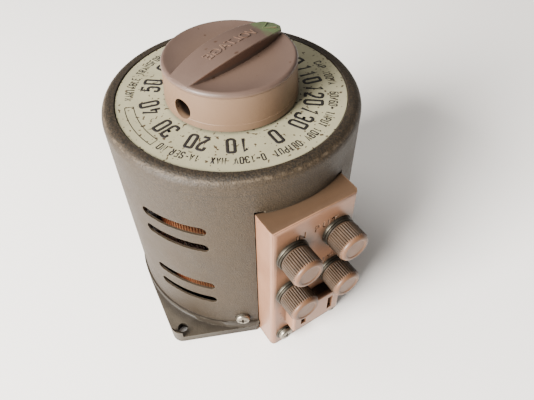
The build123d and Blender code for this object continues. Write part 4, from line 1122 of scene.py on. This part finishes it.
curve = bpy.data.curves.new("wire", "CURVE")
curve.dimensions = "3D"
curve.bevel_depth = wire_radius
curve.bevel_resolution = 1
first_turn = full_angle - winding_margin
last_turn = 360 + zero_angle + winding_margin
for number in range(wire_turns):
    bearing = math.radians(first_turn + (last_turn - first_turn) * number / (wire_turns - 1))
    path = turn_path(bearing)
    loop = curve.splines.new("POLY")
    loop.points.add(len(path) - 1)
    for point, place_at in zip(loop.points, path):
        point.co = (*place_at, 1)
    loop.use_cyclic_u = True
wires = bpy.data.objects.new("wire_turns", curve)
add_to_scene(wires)
take(wires)
bpy.ops.object.convert(target="MESH")
wires = shade(bpy.context.active_object, 60)


def track_marks(tree, colour):
    """Bare copper track for the brush."""
    split = position(tree)
    squares = plus(tree, math_node(tree, "POWER", split.outputs["X"], 2.0),
                        math_node(tree, "POWER", split.outputs["Y"], 2.0))
    off_track = minus(tree, math_node(tree, "SQRT", squares), track_middle)
    away = math_node(tree, "ABSOLUTE", off_track)
    inside = inverse(tree, ramp(tree, away, track_half - 0.2 * mm, track_half + 0.2 * mm))
    on_top = ramp(tree, split.outputs["Z"], coil_high.z - 0.35 * mm, coil_high.z - 0.2 * mm)
    return blend_colour(tree, times(tree, inside, on_top), colour, COPPER_BARE)


enamelled = surface("winding_wire", COPPER_BROWN, 0.35, scaled(COPPER_BROWN, 0.6), 120.0,
                     metallic=0.4,
                    dirt_and_shade=(1.0 * mm, 0.6, 300.0, DIRT_AND_SHADE), change_colour=track_marks)
give(wires, enamelled, "frame", "winding_wire", "winding")

# Works inside the drum: pressed fibre, strip-steel core, brass and steel turned parts, cast arm,
# carbon brush and the three leads. They keep their shapes and only take their finishes.
finishes = {
    "brass": surface("brass", (0.50, 0.33, 0.11), 0.34, (0.38, 0.24, 0.08), 200.0, metallic=0.9,
                     bump=(1500.0, 0.01 * mm)),
    "fibre": surface("fibre", (0.19, 0.085, 0.035), 0.65, (0.14, 0.06, 0.025), 150.0,
                     bump=(1200.0, 0.05 * mm)),
    "core_steel": surface("core_steel", (0.16, 0.165, 0.18), 0.45, (0.11, 0.11, 0.12), 150.0, metallic=0.8),
    "arm_casting": surface("arm_casting", (0.42, 0.42, 0.41), 0.50, (0.33, 0.33, 0.32), 120.0, metallic=0.7,
                           bump=(1500.0, 0.05 * mm)),
    "brush_carbon": surface("brush_carbon", (0.022, 0.022, 0.024), 0.50, (0.012, 0.012, 0.013), 300.0),
    "lead_white": surface("lead_white", (0.50, 0.46, 0.38), 0.55, (0.40, 0.36, 0.29), 200.0),
    "lead_red": surface("lead_red", (0.30, 0.018, 0.014), 0.50, (0.22, 0.012, 0.010), 200.0),
    "lead_blue": surface("lead_blue", (0.012, 0.045, 0.19), 0.50, (0.008, 0.03, 0.13), 200.0),
    "screw_steel": screw_steel,
    "nickel": nickel,
}
for subpart in frame["record"]["subparts"]:
    finish = finishes.get(subpart["material_slot"])
    if finish:
        mesh = cad[subpart["node"]].data
        mesh.materials.clear()
        mesh.materials.append(finish)

# The brush spring shortens as the brush is pushed up; here it is a welded copy with a mesh of its own,
# riding on the rotor.
spring_finish = cad["brush_spring"].data.materials[0]
subparts = frame["record"]["subparts"]
spring_slot = [part["material_slot"] for part in subparts if part["node"] == "brush_spring"][0]
spring = welded_copy("brush_spring", "spring")
give(spring, spring_finish, "rotor", spring_slot, "brush_spring")
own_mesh(spring)

# Floor, light and camera
floor_material = bpy.data.materials.new("floor")
floor_material.use_nodes = True
floor_shader = floor_material.node_tree.nodes["Principled BSDF"]
floor_shader.inputs["Base Color"].default_value = (0.93, 0.90, 0.87, 1)
floor_shader.inputs["Roughness"].default_value = 0.45
deselect()
bpy.ops.mesh.primitive_plane_add(size=6, location=(0, 0, -0.0002))
floor = bpy.context.active_object
floor.name = "floor"
floor.data.materials.append(floor_material)

world = bpy.data.worlds.new("studio")
bpy.context.scene.world = world
world.use_nodes = True
world.node_tree.nodes["Background"].inputs["Color"].default_value = (1.0, 0.960, 0.915, 1)
world.node_tree.nodes["Background"].inputs["Strength"].default_value = 0.32


def area_light(name, place_at, size, power, colour):
    data = bpy.data.lights.new(name, "AREA")
    data.shape = "SQUARE"
    data.size = size
    data.energy = power
    data.color = colour
    lamp = bpy.data.objects.new(name, data)
    lamp.location = place_at
    lamp.rotation_mode = "QUATERNION"
    lamp.rotation_quaternion = (Vector(place_at) - Vector((0, 0, 0.05))).to_track_quat("Z", "Y")
    add_to_scene(lamp)


area_light("window", (-1.15, -0.20, 0.62), 0.7, 122, (1.0, 0.975, 0.93))
area_light("ceiling", (-0.5, 0.6, 1.6), 0.9, 14, (1.0, 0.99, 0.96))

camera_right = Vector((0.83832, -0.54505, -0.00689))
camera_up = Vector((0.41077, 0.62338, 0.66529))
camera_back = Vector((-0.35831, -0.56055, 0.74655))
camera_data = bpy.data.cameras.new("camera")
camera_data.sensor_width = 36
camera_data.lens = 33.04
camera = bpy.data.objects.new("camera", camera_data)
axes = Matrix((camera_right, camera_up, camera_back)).transposed().to_4x4()
camera.matrix_world = Matrix.Translation((-0.0679, -0.1286, 0.1944)) @ axes
add_to_scene(camera)
bpy.context.scene.camera = camera
